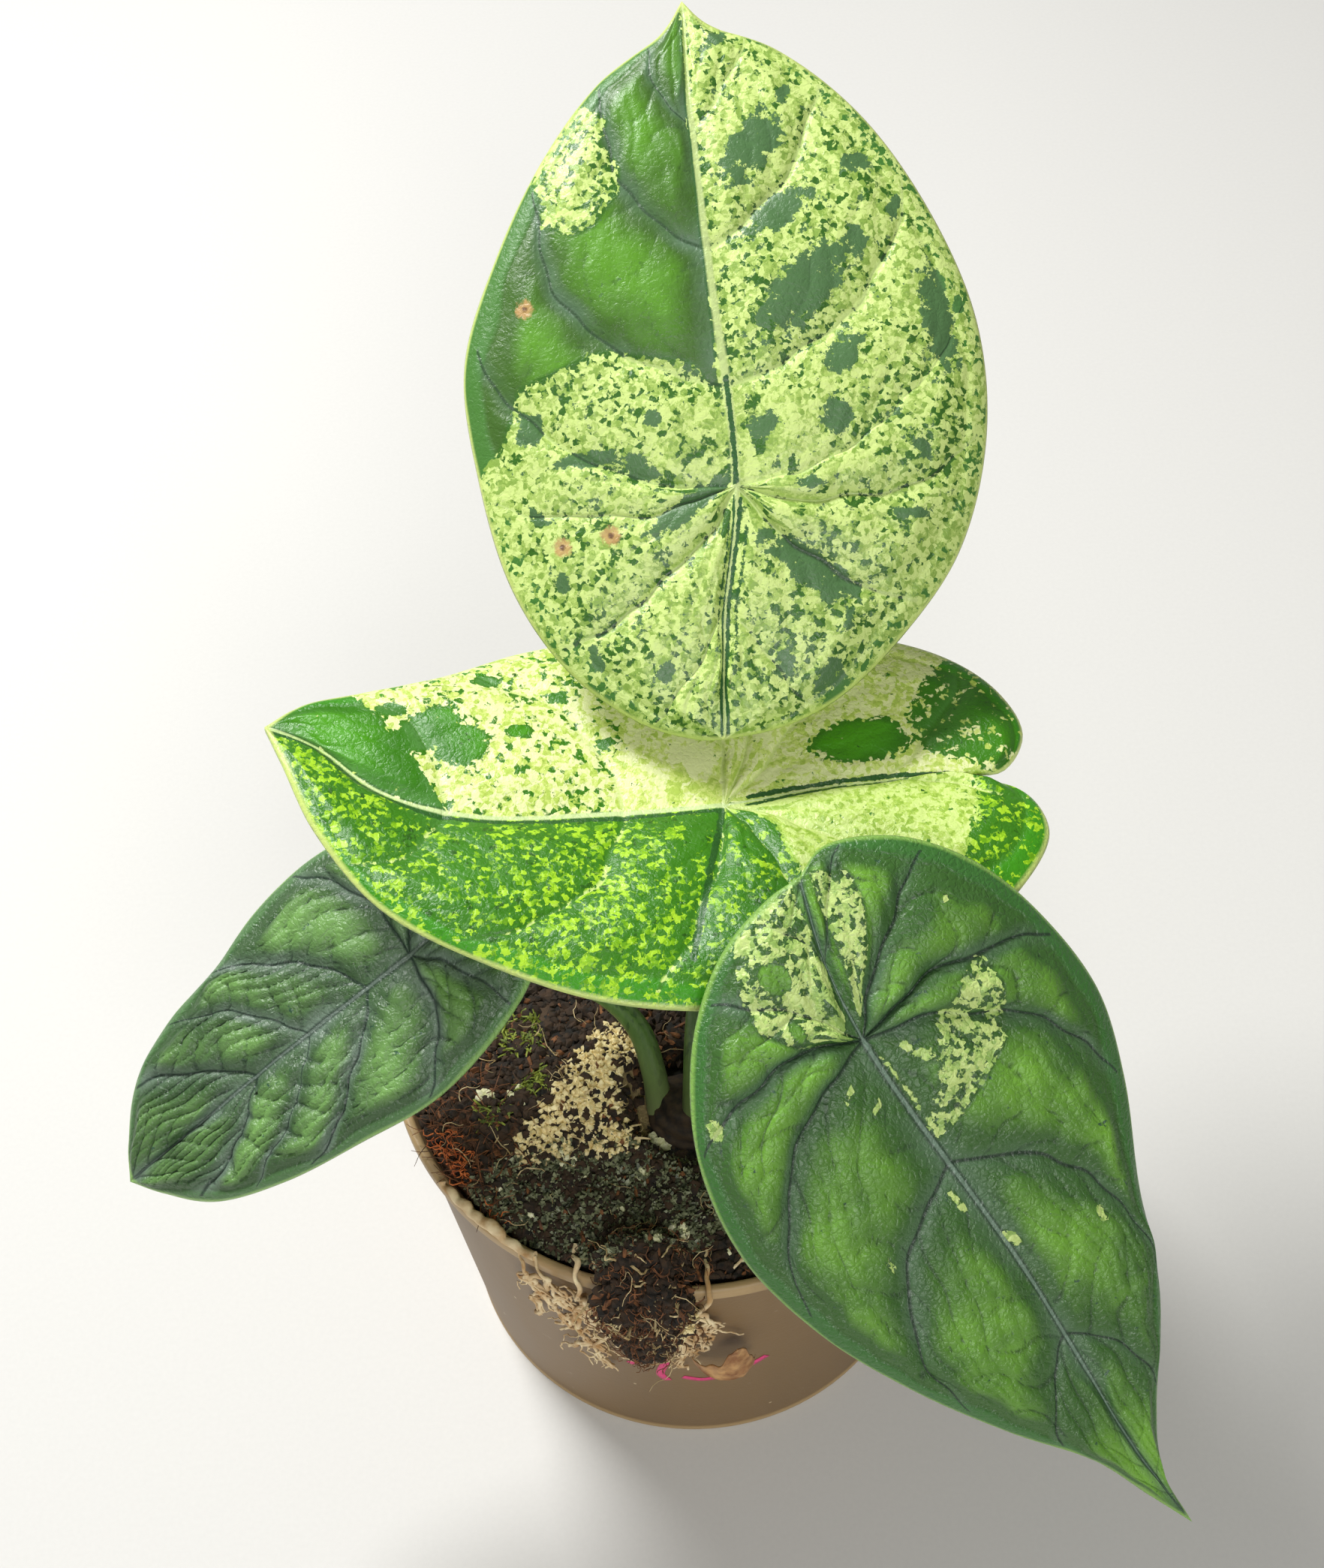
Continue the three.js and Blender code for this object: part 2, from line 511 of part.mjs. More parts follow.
function makeMix(clearance, holes) {
  const inner = POT_WALL + GAP;
  const floor = FLOOR_RAISE + POT_WALL + GAP;
  const rim = POT_RIM_RADIUS - LIP_WIDTH - GAP - 0.1;
  const side = [
    [0, floor],
    [wallRadius(floor, inner) - 0.1, floor],
    [wallRadius(wallTop, inner) - 0.1, wallTop - 2],
  ];
  const top = [rim - 0.8, 52, 44, 35, 26, 17, 8, 0].map((r) => [r, MIX_LEVEL]);
  const profile = [...side, ...top].map(([r, z]) => new THREE.Vector2(r, z));
  const body = new THREE.LatheGeometry(profile, ROUND_SIDES).rotateX(Math.PI / 2);
  const position = body.getAttribute("position");
  for (let i = 0; i < position.count; i++) {
    if (position.getZ(i) > MIX_LEVEL - 0.01)
      position.setZ(i, mixHeight(position.getX(i), position.getY(i)));
  }
  const draw = seeded(11);
  const lumps = [];
  const scatter = (count, cx, cy, spread, low, high) => {
    for (let i = 0; i < count; i++) {
      const angle = 2 * Math.PI * draw();
      const reach = spread * Math.sqrt(draw());
      const [x, y] = [cx + reach * Math.cos(angle), cy + reach * Math.sin(angle)];
      const size = low + (high - low) * draw();
      if (Math.hypot(x, y) > 55) continue;
      lumps.push(lump(x, y, mixHeight(x, y) - 0.1 * size, [size * 1.3, size, size * 0.8], draw));
    }
  };
  scatter(18, PALE_HEAP[0], PALE_HEAP[1], 13, 1.4, 2.5);
  scatter(9, -41, -26, 12, 1.6, 3.2);
  scatter(8, -8, -43, 10, 1.6, 3);
  scatter(6, 26, 8, 24, 1.8, 3);
  scatter(5, -12, 28, 20, 1.8, 3);
  const tongue = [
    [-11, -55, 90.5, 7.5],
    [-14.5, -59.6, 87.5, 5.4],
    [-7.2, -60.6, 87.5, 5.6],
    [-14, -58.8, 80, 5],
    [-7.4, -59.6, 79, 5.2],
    [-12.6, -58.2, 72, 4.9],
    [-7.4, -58.8, 71, 4.4],
    [-10.6, -57.8, 65, 4.6],
    [-11, -57, 60, 3.6],
  ];
  const drawTongue = seeded(3);
  for (const [x, y, z, size] of tongue) {
    lumps.push(lump(x, y, z, [size * 1.1, size * 0.72, size * 1.25], drawTongue));
  }
  const whole = join([solidOf(body), ...lumps]).subtract(clearance).subtract(makeCrownPit());
  return holes.reduce((rest, hole) => rest.subtract(hole), whole);
}

// Roots that have come out of the mix and hang over the lip: each bundle is a few stout strands
// grown from one knot, each strand with its radius. grow makes the grooves that they lie in.

const ROOT_BUNDLES = {
  roots_rim_left: {
    knot: [-33, -49.8, 90.7],
    strands: [
      [1.3, [-48.5, -33.5, 90.2], [-45.5, -38, 90.2], [-41.4, -42.7, 90.5], [-36.5, -47, 90.6],
        [-31, -51, 90.7]],
      [1, [-33.5, -49.5, 90.7], [-33.5, -52.2, 88.5], [-32.8, -50.6, 80], [-32.4, -48.8, 70],
        [-33.8, -45.6, 62]],
      [1, [-31, -51, 90.7], [-29.6, -54.4, 88.6], [-28.4, -53.3, 78], [-29, -51, 68], [-26.6, -50.4, 57]],
    ],
  },
  roots_front_left: {
    knot: [-22.3, -55.2, 77],
    strands: [
      [1.3, [-23.6, -49, 90], [-23.4, -55, 90.8], [-22.9, -57.6, 88], [-22.3, -55.2, 77], [-21.4, -54.6, 66]],
      [1, [-22.3, -55.2, 77], [-25.4, -53, 69], [-24.9, -52.2, 59], [-22.4, -51.6, 48], [-19, -51.8, 39]],
      [1, [-22.3, -55.2, 77], [-18.6, -55.6, 69], [-19.2, -54.6, 60], [-22.6, -52.8, 52]],
    ],
  },
  roots_front: {
    knot: [-0.6, -59.4, 79],
    strands: [
      [1.3, [2.2, -50, 89.8], [1.4, -57, 91.2], [1, -61.7, 88.8], [-0.4, -59.4, 79], [-1.6, -58, 70]],
      [1, [-0.6, -59.4, 79], [2, -58.8, 72], [1, -57.7, 65]],
      [1, [-0.6, -59.4, 79], [-3.4, -58.4, 69], [-4.4, -57.4, 59], [-4.6, -56.2, 47]],
    ],
  },
};

function makeRoots({ knot, strands }, grow) {
  const tubes = strands.map(([radius, ...points]) => strand(points, radius, radius * 0.6, grow, 9));
  const knob = lump(...knot, [1.9 + grow, 1.7 + grow, 1.7 + grow], seeded(5));
  return join([...tubes, knob]);
}

// Dry scrap: a piece of old leaf sheath, curled like half a pipe, that lies on the pot's front wall.

const SCRAP_OUTLINE = [
  [-2.6, 53.5],
  [0.5, 57.5],
  [3, 59],
  [6.6, 65.5],
  [8.4, 62],
  [10.4, 52.5],
  [7, 51],
  [2, 52.2],
];

function makeScrap(clearance) {
  const curl = turned([[5.6, -10], [6.5, -10], [6.5, 10], [5.6, 10], [5.6, -10]], 18);
  const sheet = curl.scale([1, 0.75, 1]).rotate([5, 0, 0]).translate([3.9, -55.8, 58]);
  const outline = new THREE.Shape(SCRAP_OUTLINE.map(([x, z]) => new THREE.Vector2(x, z)));
  const prism = new THREE.ExtrudeGeometry(outline, { depth: 9, bevelEnabled: false });
  prism.rotateX(Math.PI / 2).translate(0, -55.2, 0);
  return sheet.intersect(solidOf(prism)).subtract(clearance);
}

// Assembly

const pot = makePot();
const clearance = makePotClearance();
const cormHole = makeCorm(GAP);
const grooves = Object.values(ROOT_BUNDLES).map((bundle) => makeRoots(bundle, GAP));

place("pot", pot, "#7b6656", 0.55);
place("potting_mix", makeMix(clearance, [cormHole, ...grooves]), "#2b231c", 0.95);
place("corm", makeCorm(0), "#33281d", 0.85);
for (const name of Object.keys(LEAVES)) {
  const blade = makeBlade(LEAVES[name]);
  place("leaf_" + name, blade, LEAVES[name].color, 0.45);
  place("petiole_" + name, makePetiole(name, blade, cormHole), "#3c5a30", 0.5);
}
for (const [name, bundle] of Object.entries(ROOT_BUNDLES)) {
  place(name, makeRoots(bundle, 0).subtract(clearance), "#c3ab80", 0.85);
}
place("dry_scrap", makeScrap(clearance), "#a5805a", 0.85);

export default group;
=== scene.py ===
import math
import random
import bmesh
import bpy
import numpy as np
from mathutils import Matrix, Vector, noise


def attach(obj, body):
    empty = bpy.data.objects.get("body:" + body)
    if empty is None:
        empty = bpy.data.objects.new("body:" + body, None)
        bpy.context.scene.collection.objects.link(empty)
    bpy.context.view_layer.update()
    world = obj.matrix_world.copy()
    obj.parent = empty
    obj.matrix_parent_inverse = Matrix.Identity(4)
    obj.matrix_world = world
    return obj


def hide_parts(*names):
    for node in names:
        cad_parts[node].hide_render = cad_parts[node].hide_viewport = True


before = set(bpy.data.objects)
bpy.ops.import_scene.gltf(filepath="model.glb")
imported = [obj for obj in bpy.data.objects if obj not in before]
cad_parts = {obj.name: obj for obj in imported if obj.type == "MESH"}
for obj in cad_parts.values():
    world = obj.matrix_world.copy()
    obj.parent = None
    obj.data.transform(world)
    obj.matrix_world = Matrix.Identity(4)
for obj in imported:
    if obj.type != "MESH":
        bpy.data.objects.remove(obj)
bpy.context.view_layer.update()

# The pot: a thin tapered nursery pot, moulded from taupe polypropylene, with a rolled lip, a foot
# ring and eight drainage holes round a centre pad. Its satin wall is scuffed, dusty and splashed.

MM = 0.001
POT_RIM_RADIUS = 60
POT_BASE_RADIUS = 51.4
POT_HEIGHT = 89
POT_WALL = 1.2
LIP_WIDTH = 1.9
LIP_FOOT = 85.2
FLOOR_RAISE = 2
DRAIN_HOLES = 8
DRAIN_HOLE_RADIUS = 4
DRAIN_RING_RADIUS = 31


def linear(hex_colour):
    channels = [int(hex_colour[i : i + 2], 16) / 255 for i in (1, 3, 5)]
    return [c / 12.92 if c <= 0.04045 else ((c + 0.055) / 1.055) ** 2.4 for c in channels] + [1.0]


def fill(tree, node, inputs):
    """Links or sets the node's inputs, by name or number."""
    for key, value in inputs.items():
        if isinstance(value, bpy.types.NodeSocket):
            tree.links.new(value, node.inputs[key])
        else:
            node.inputs[key].default_value = value


def add(tree, kind, inputs=None, **settings):
    made = tree.nodes.new(kind)
    for name, value in settings.items():
        setattr(made, name, value)
    fill(tree, made, inputs or {})
    return made


def maths(tree, operation, *values):
    return add(tree, "ShaderNodeMath", dict(enumerate(values)), operation=operation).outputs[0]


def ramp(tree, value, low, high, start=0, end=1):
    """Goes from start to end while the value goes from low to high."""
    return add(tree, "ShaderNodeMapRange", {0: value, 1: low, 2: high, 3: start, 4: end}).outputs[0]


def blend(tree, share, first, second):
    """Goes from the first colour to the second with the share; each is a socket or a hex code."""
    first, second = (linear(c) if isinstance(c, str) else c for c in (first, second))
    return add(tree, "ShaderNodeMix", {0: share, 6: first, 7: second}, data_type="RGBA").outputs[2]


def noisy(tree, place, scale, detail, roughness=0.5):
    """Noise between 0 and 1, with the scale as its grains in a metre."""
    inputs = {"Vector": place, "Scale": scale, "Detail": detail, "Roughness": roughness}
    return add(tree, "ShaderNodeTexNoise", inputs).outputs[0]


def relief(tree, height, strength, depth, over=None):
    """A bump as deep as given, in metres, over another one."""
    inputs = {"Height": height, "Strength": strength, "Distance": depth}
    if over is not None:
        inputs["Normal"] = over
    return add(tree, "ShaderNodeBump", inputs).outputs[0]


def new_material(name):
    material = bpy.data.materials.new(name)
    material.use_nodes = True
    tree = material.node_tree
    tree.nodes.clear()
    shader = add(tree, "ShaderNodeBsdfPrincipled")
    add(tree, "ShaderNodeOutputMaterial", {"Surface": shader.outputs[0]})
    place = add(tree, "ShaderNodeTexCoord").outputs["Object"]
    return material, tree, shader, place


def mesh_of(name, shape):
    mesh = bpy.data.meshes.new(name)
    shape.to_mesh(mesh)
    shape.free()
    return mesh


def placed(name, mesh, material):
    """A smooth piece of the mesh in the material."""
    mesh.materials.append(material)
    mesh.shade_smooth()
    piece = bpy.data.objects.new(name, mesh)
    bpy.context.collection.objects.link(piece)
    return piece


def new_piece(name, points, faces, material, edges=()):
    mesh = bpy.data.meshes.new(name)
    mesh.from_pydata([tuple(p) for p in points], list(edges), faces)
    return placed(name, mesh, material)


def bake_modifiers(piece):
    """Turns the piece with its modifiers into a plain mesh."""
    seen = piece.evaluated_get(bpy.context.evaluated_depsgraph_get())
    mesh = bpy.data.meshes.new_from_object(seen)
    piece.modifiers.clear()
    piece.data = mesh


def wall_radius(z, inset=0.0):
    foot = POT_BASE_RADIUS - 0.4
    flare = (POT_RIM_RADIUS - LIP_WIDTH + 0.1 - foot) / LIP_FOOT
    return foot + flare * z - inset


def rounded(profile, radius, steps=4):
    """The profile with an arc in place of each corner that lies off the axis."""
    points = [profile[0]]
    for before, corner, after in zip(profile, profile[1:], profile[2:]):
        corner = Vector(corner)
        back, ahead = Vector(before) - corner, Vector(after) - corner
        reach = min(radius, 0.45 * back.length, 0.45 * ahead.length)
        start, end = corner + reach * back.normalized(), corner + reach * ahead.normalized()
        for i in range(steps + 1):
            t = i / steps
            points.append((1 - t) ** 2 * start + 2 * t * (1 - t) * corner + t * t * end)
    return points + [profile[-1]]


def turned(name, profile, sides, material):
    """A solid turned about +Z from a profile of (radius, height) in millimetres."""
    points = []
    for i in range(sides):
        angle = 2 * math.pi * i / sides
        for r, z in profile:
            points.append((r * MM * math.cos(angle), r * MM * math.sin(angle), z * MM))
    faces = []
    n = len(profile)
    for i in range(sides):
        k = (i + 1) % sides
        faces += [(i * n + j, k * n + j, k * n + j + 1, i * n + j + 1) for j in range(n - 1)]
    piece = new_piece(name, points, faces, material)
    shape = bmesh.new()
    shape.from_mesh(piece.data)
    bmesh.ops.remove_doubles(shape, verts=shape.verts, dist=1e-7)
    bmesh.ops.recalc_face_normals(shape, faces=shape.faces)
    shape.to_mesh(piece.data)
    shape.free()
    piece.data.shade_smooth()
    return piece


# Polypropylene, moulded: satin, with a fine grain, paler on the lip and the foot bead as a painted
# highlight, with scuffs, specks of dust 1 mm wide and a brown stain that thins out below the lip.
pot_plastic, tree, shader, place = new_material("moulded_polypropylene")
height = add(tree, "ShaderNodeSeparateXYZ", {0: place}).outputs["Z"]
stretch = add(tree, "ShaderNodeMapping", {"Vector": place, "Scale": (1, 1, 0.25)}).outputs[0]
cloud = noisy(tree, stretch, 45, 5, 0.6)
taupe = blend(tree, cloud, "#745c3c", "#8c7049")
# painted highlight: the lip and the foot bead are made paler where their rounded edges catch the light
above_foot = ramp(tree, height, 0.0014, 0.0022)
at_lip = ramp(tree, height, 0.0851, 0.0862)
at_foot = maths(tree, "SUBTRACT", 1.0, above_foot)
painted_edge_highlight = maths(tree, "ADD", at_foot, at_lip)
edge_highlighted = blend(tree, painted_edge_highlight, taupe, "#b09468")
scuff_noise = noisy(tree, place, 260, 6, 0.7)
scuffs = ramp(tree, scuff_noise, 0.66, 0.74, end=0.55)
scuffed = blend(tree, scuffs, edge_highlighted, "#b3a189")
dust_cells = add(tree, "ShaderNodeTexVoronoi", {"Vector": place, "Scale": 210})
dust_spots = ramp(tree, dust_cells.outputs["Distance"], 0.09, 0.05)
dust_pick = add(tree, "ShaderNodeSeparateColor", {0: dust_cells.outputs["Color"]})
dust_rare = maths(tree, "GREATER_THAN", dust_pick.outputs[0], 0.86)
dust = maths(tree, "MULTIPLY", dust_spots, dust_rare)
specked = blend(tree, dust, scuffed, "#c9b48f")
stain_noise = noisy(tree, stretch, 90, 6)
stain_top = ramp(tree, height, 0.05, 0.088, end=0.35)
stain_cut = ramp(tree, stain_noise, 0.5, 0.68)
stain = maths(tree, "MULTIPLY", stain_top, stain_cut)
stained = blend(tree, stain, specked, "#4f3f2f")
gloss = ramp(tree, cloud, 0, 1, 0.42, 0.6)
grain = noisy(tree, place, 1400, 2)
rings = add(tree, "ShaderNodeTexNoise", {"W": height, "Scale": 160, "Detail": 3}, noise_dimensions="1D")
soft_rings = relief(tree, rings.outputs[0], 0.12, 0.0005)
fine = relief(tree, grain, 0.25, 0.0002, soft_rings)
fill(tree, shader, {"Base Color": stained, "Roughness": gloss, "Normal": fine})

pot_profile = [(0, 0), (12, 0), (14, FLOOR_RAISE), (47, FLOOR_RAISE), (48.5, 0), (POT_BASE_RADIUS, 0)]
pot_profile += [(POT_BASE_RADIUS - 0.1, 1.6), (wall_radius(2.0), 2.0), (wall_radius(LIP_FOOT), LIP_FOOT)]
pot_profile += [(POT_RIM_RADIUS - 0.3, LIP_FOOT + 0.1), (POT_RIM_RADIUS, LIP_FOOT + 0.9)]
pot_profile += [(POT_RIM_RADIUS, POT_HEIGHT - 0.6), (POT_RIM_RADIUS - 0.6, POT_HEIGHT)]
pot_profile += [(POT_RIM_RADIUS - LIP_WIDTH, POT_HEIGHT - 0.2), (wall_radius(LIP_FOOT, POT_WALL), LIP_FOOT)]
pot_profile += [(wall_radius(3.2, POT_WALL), FLOOR_RAISE + POT_WALL), (0, FLOOR_RAISE + POT_WALL)]
pot = turned("nursery_pot", rounded(pot_profile, 0.8), 180, pot_plastic)
drills = bmesh.new()
for i in range(DRAIN_HOLES):
    angle = (i + 0.5) * 2 * math.pi / DRAIN_HOLES
    spot = (DRAIN_RING_RADIUS * MM * math.cos(angle), DRAIN_RING_RADIUS * MM * math.sin(angle), 0.002)
    bmesh.ops.create_cone(
        drills,
        cap_ends=True,
        segments=32,
        radius1=DRAIN_HOLE_RADIUS * MM,
        radius2=DRAIN_HOLE_RADIUS * MM,
        depth=0.012,
        matrix=Matrix.Translation(spot),
    )
drill = bpy.data.objects.new("drills", mesh_of("drills", drills))
bpy.context.collection.objects.link(drill)
pot.modifiers.new("drainage", "BOOLEAN").object = drill
bake_modifiers(pot)
bpy.data.objects.remove(drill)
pot.data.set_sharp_from_angle(angle=math.radians(35))
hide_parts("pot")
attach(pot, "root")

# Leaf blades: four peltate blades, leathery and quilted between sunken veins. Each is drawn flat,
# p millimetres along the midrib from the petiole and q to its left, then bent as the plant holds it.

BLADE_THICKNESS = 0.8
PANEL_RISE = 1.3
EDGE_DROP = 1.5
COLLECTIVE_VEIN = 0.88  # share of the way to the margin where the vein along it lies
ROLLED_RIM = 0.03  # share of that way over which the blade's edge is rounded off
MARGIN_STEP, RIB_STEP = 0.85, 0.75  # millimetres between rows of points, at the margin and the rib
NO_VEIN_MM = 30  # the distance given beyond the first and the last vein, where there is none
FAR_MM = 9  # a distance at which no vein and no scar shows

# at: the petiole's end; pose: heading, climb and roll in degrees; arch: degrees in 10 mm ahead of it
# and behind it; fold at the midrib and curl in 10 mm away from it, in degrees. A vein is its start on
# the midrib, its share of the margin's length, its bow and its depth. Branches: millimetres apart,
# and how far the panel swells between them.
LEAVES = {
    "back": {
        "at": (15.2, 43.5, 198),
        "pose": (96, 38, -3),
        "arch": (1.5, 1),
        "fold": 2,
        "curl": 2,
        "left": [(91, -3.5), (86.5, 0.5), (78.5, 14), (66, 26), (49.5, 37), (30, 46), (9.5, 46.5),
                 (-12.5, 43), (-29, 34.5), (-40, 22.5), (-44, 13), (-44.5, 8.5)],
        "right": [(91, -3.5), (87, -7), (80.5, -19.5), (66.5, -33), (46, -43.5), (24.5, -49),
                  (3, -47.5), (-17, -39.5), (-31, -26.5), (-40.5, -13), (-44, -2), (-44.5, 8.5)],
        "axis": [(91, -3.5), (72, -2), (41, -1), (0, 0), (-23.5, 5.5), (-44.5, 8.5)],
        "left_veins": [(66, 0.06, 0.2, 0.5), (43, 0.12, 0.35, 1), (18, 0.245, 0.45, 1),
                       (0, 0.43, 0.35, 1), (0, 0.61, 0.2, 0.5), (0, 0.79, 0.2, 1), (-20, 0.92, 0.1, 0.5)],
        "right_veins": [(66, 0.07, 0.2, 0.5), (43, 0.155, 0.25, 1), (18, 0.28, 0.35, 1),
                        (0, 0.42, 0.3, 0.4), (0, 0.56, 0.3, 1), (0, 0.75, 0.2, 1), (-20, 0.9, 0.1, 0.5)],
        "branches": (8, 0.3),
    },
    "middle": {
        "at": (9.7, 2.6, 158),
        "pose": (176, 4, 0),
        "arch": (-1, -0.5),
        "fold": -12,
        "curl": 5,
        "left": [(84, -9.5), (80, -1.5), (72.5, 13), (59.5, 28), (41.5, 37), (20.5, 43), (0, 43.5),
                 (-20, 40), (-38, 31.5), (-52, 18), (-58.5, 4.5), (-55.5, -4.5), (-46, -8.5)],
        "right": [(84, -9.5), (78, -15.5), (66.5, -20), (53.5, -25.5), (38, -34.5), (20, -40.5),
                  (0, -43), (-20, -43), (-39, -38), (-51, -28.5), (-55.5, -18), (-51.5, -10), (-46, -8.5)],
        "axis": [(84, -9.5), (74, -6), (62, 2.5), (45, 6), (22, 3.5), (0, 0), (-20, -5), (-46, -8.5)],
        "left_veins": [(50, 0.17, 0.35, 1), (18, 0.28, 0.45, 1), (0, 0.47, 0.15, 1), (0, 0.62, 0.15, 0.5),
                       (0, 0.76, 0.15, 0.8), (-28, 0.93, 0.1, 0.6)],
        "right_veins": [(50, 0.1, 0.3, 1), (18, 0.2, 0.35, 1), (0, 0.38, 0.35, 1), (0, 0.53, 0.2, 0.6),
                        (0, 0.66, 0.15, 0.8), (-28, 0.8, 0.2, 1)],
        "branches": (8.5, 0.3),
    },
    "left": {
        "at": (-49.3, -13.6, 140),
        "pose": (208, -24, -16),
        "arch": (2.2, 2),
        "fold": -8,
        "curl": 7,
        "left": [(72, -4), (67.5, 2.5), (59.5, 10.5), (45, 17), (28.5, 21), (12, 24), (-4, 22),
                 (-16, 17.5), (-25, 10), (-28, 3), (-26, 0)],
        "right": [(72, -4), (68, -10), (59, -18), (46, -22.5), (32.5, -24), (20, -27.5), (6, -28.5),
                  (-8, -25.5), (-19, -18), (-26, -9), (-28, -3), (-26, 0)],
        "axis": [(72, -4), (54, -2.5), (32, -1.5), (0, 0), (-26, 0)],
        "left_veins": [(37, 0.13, 0.16, 1), (24, 0.23, 0.18, 0.4), (10, 0.33, 0.2, 1), (0, 0.55, 0.3, 1),
                       (0, 0.75, 0.2, 0.8), (-12, 0.9, 0.1, 0.5)],
        "right_veins": [(37, 0.14, 0.18, 1), (24, 0.25, 0.2, 0.6), (10, 0.36, 0.24, 1),
                        (0, 0.56, 0.3, 0.8), (0, 0.73, 0.2, 1), (-12, 0.9, 0.1, 0.5)],
        "branches": (4.8, 1.1),
    },
    "right": {
        "at": (29.9, -46.4, 155),
        "pose": (-50, -42, 14),
        "arch": (0.5, 5),
        "fold": -4,
        "curl": 3.5,
        "left": [(112.5, 4.5), (100, 5), (90, 10), (72, 21.5), (52, 29), (35, 37), (19, 41.5),
                 (1, 39.5), (-14, 34), (-25.5, 24.5), (-31, 13), (-29, 6.5)],
        "right": [(112.5, 4.5), (103, 0.5), (91, -4.5), (76.5, -14.5), (59, -25), (40, -33.5),
                  (20, -37.5), (1, -34.5), (-15.5, -25), (-25.5, -12.5), (-29, 0), (-29, 6.5)],
        "axis": [(112.5, 4.5), (93, 2.5), (50, 2.5), (0, 0), (-16, 2), (-29, 6.5)],
        "left_veins": [(66, 0.16, 0.3, 0.8), (27, 0.265, 0.45, 1), (0, 0.49, 0.35, 1),
                       (0, 0.67, 0.25, 1), (0, 0.85, 0.15, 0.8), (-14, 0.94, 0.1, 0.4)],
        "right_veins": [(66, 0.17, 0.25, 0.8), (27, 0.27, 0.45, 1), (0, 0.47, 0.35, 1),
                        (0, 0.68, 0.35, 1), (0, 0.84, 0.15, 0.6), (-14, 0.94, 0.1, 0.4)],
        "branches": (7.5, 0.6),
    },
}


def smooth_curve(points, steps=24):
    """A centripetal curve through the points."""
    p = np.array(points, float)
    p = np.vstack([2 * p[0] - p[1], p, 2 * p[-1] - p[-2]])
    spans = []
    for a, b, c, d in zip(p, p[1:], p[2:], p[3:]):
        k0, k1, k2 = (math.sqrt(np.linalg.norm(v)) for v in (b - a, c - b, d - c))
        m1 = k1 * ((b - a) / k0 - (c - a) / (k0 + k1) + (c - b) / k1)
        m2 = k1 * ((c - b) / k1 - (d - b) / (k1 + k2) + (d - c) / k2)
        u = np.linspace(0, 1, steps, endpoint=False)[:, None]
        spans.append(b + m1 * u + (3 * (c - b) - 2 * m1 - m2) * u**2 + (2 * (b - c) + m1 + m2) * u**3)
    return np.vstack(spans + [p[-2:-1]])


def axis_offset(leaf, p):
    """The midrib's sideways offset at p."""
    curve = smooth_curve(leaf["axis"])[::-1]
    return np.interp(p, curve[:, 0], curve[:, 1])


def blade_directions(leaf):
    """Along the midrib, to its left, and the upper normal, at the petiole of the unbent blade."""
    a, b, g = np.radians(leaf["pose"])
    along = np.array([math.cos(b) * math.cos(a), math.cos(b) * math.sin(a), math.sin(b)])
    level = np.array([-math.sin(a), math.cos(a), 0.0])
    above = np.cross(along, level)
    return along, math.cos(g) * level + math.sin(g) * above, math.cos(g) * above - math.sin(g) * level


def bent(leaf, p, q, h):
    """The bent blade's points h above its surface at p, q, in metres: the midrib arches, and each
    half leaves it at the fold angle and curls down with its distance from it."""
    p, q, h = (np.asarray(v, float) for v in np.broadcast_arrays(p, q, h))
    along, side, normal = blade_directions(leaf)
    arch = np.radians(np.where(p >= 0, *leaf["arch"])) / 10
    turn = arch * abs(p)
    way = np.sign(p)
    tilt = -way * turn
    offset = axis_offset(leaf, p)
    hand = np.where(q - offset >= 0, 1.0, -1.0)
    out = abs(q - offset)
    fold = math.radians(leaf["fold"])
    curl = math.radians(leaf["curl"]) / 10
    width = (np.sin(fold + curl * out) - math.sin(fold)) / curl
    drop = (math.cos(fold) - np.cos(fold + curl * out)) / curl
    slope = np.where(out < 1e-6, 0, fold + curl * out)
    rise = h * np.cos(slope) - drop
    x = way * np.sin(turn) / arch - np.sin(tilt) * rise
    y = offset + hand * (width + h * np.sin(slope))
    z = -(1 - np.cos(turn)) / arch + np.cos(tilt) * rise
    spot = np.array(leaf["at"]) + x[..., None] * along + y[..., None] * side + z[..., None] * normal
    return spot * MM


def depth_inside(outline, p, q):
    """Millimetres from each point to a closed outline, positive inside it."""
    ring = np.array(outline, float)
    nearest = np.full(p.shape, 1e9)
    inside = np.zeros(p.shape, bool)
    for (ax, ay), (bx, by) in zip(ring, np.roll(ring, -1, axis=0)):
        dx, dy = bx - ax, by - ay
        t = np.clip(((p - ax) * dx + (q - ay) * dy) / (dx * dx + dy * dy), 0, 1)
        nearest = np.minimum(nearest, np.hypot(p - ax - t * dx, q - ay - t * dy))
        crosses = (ay > q) != (by > q)
        inside ^= crosses & (p < ax + (q - ay) * dx / (dy if dy else 1e-9))
    return np.where(inside, nearest, -nearest)


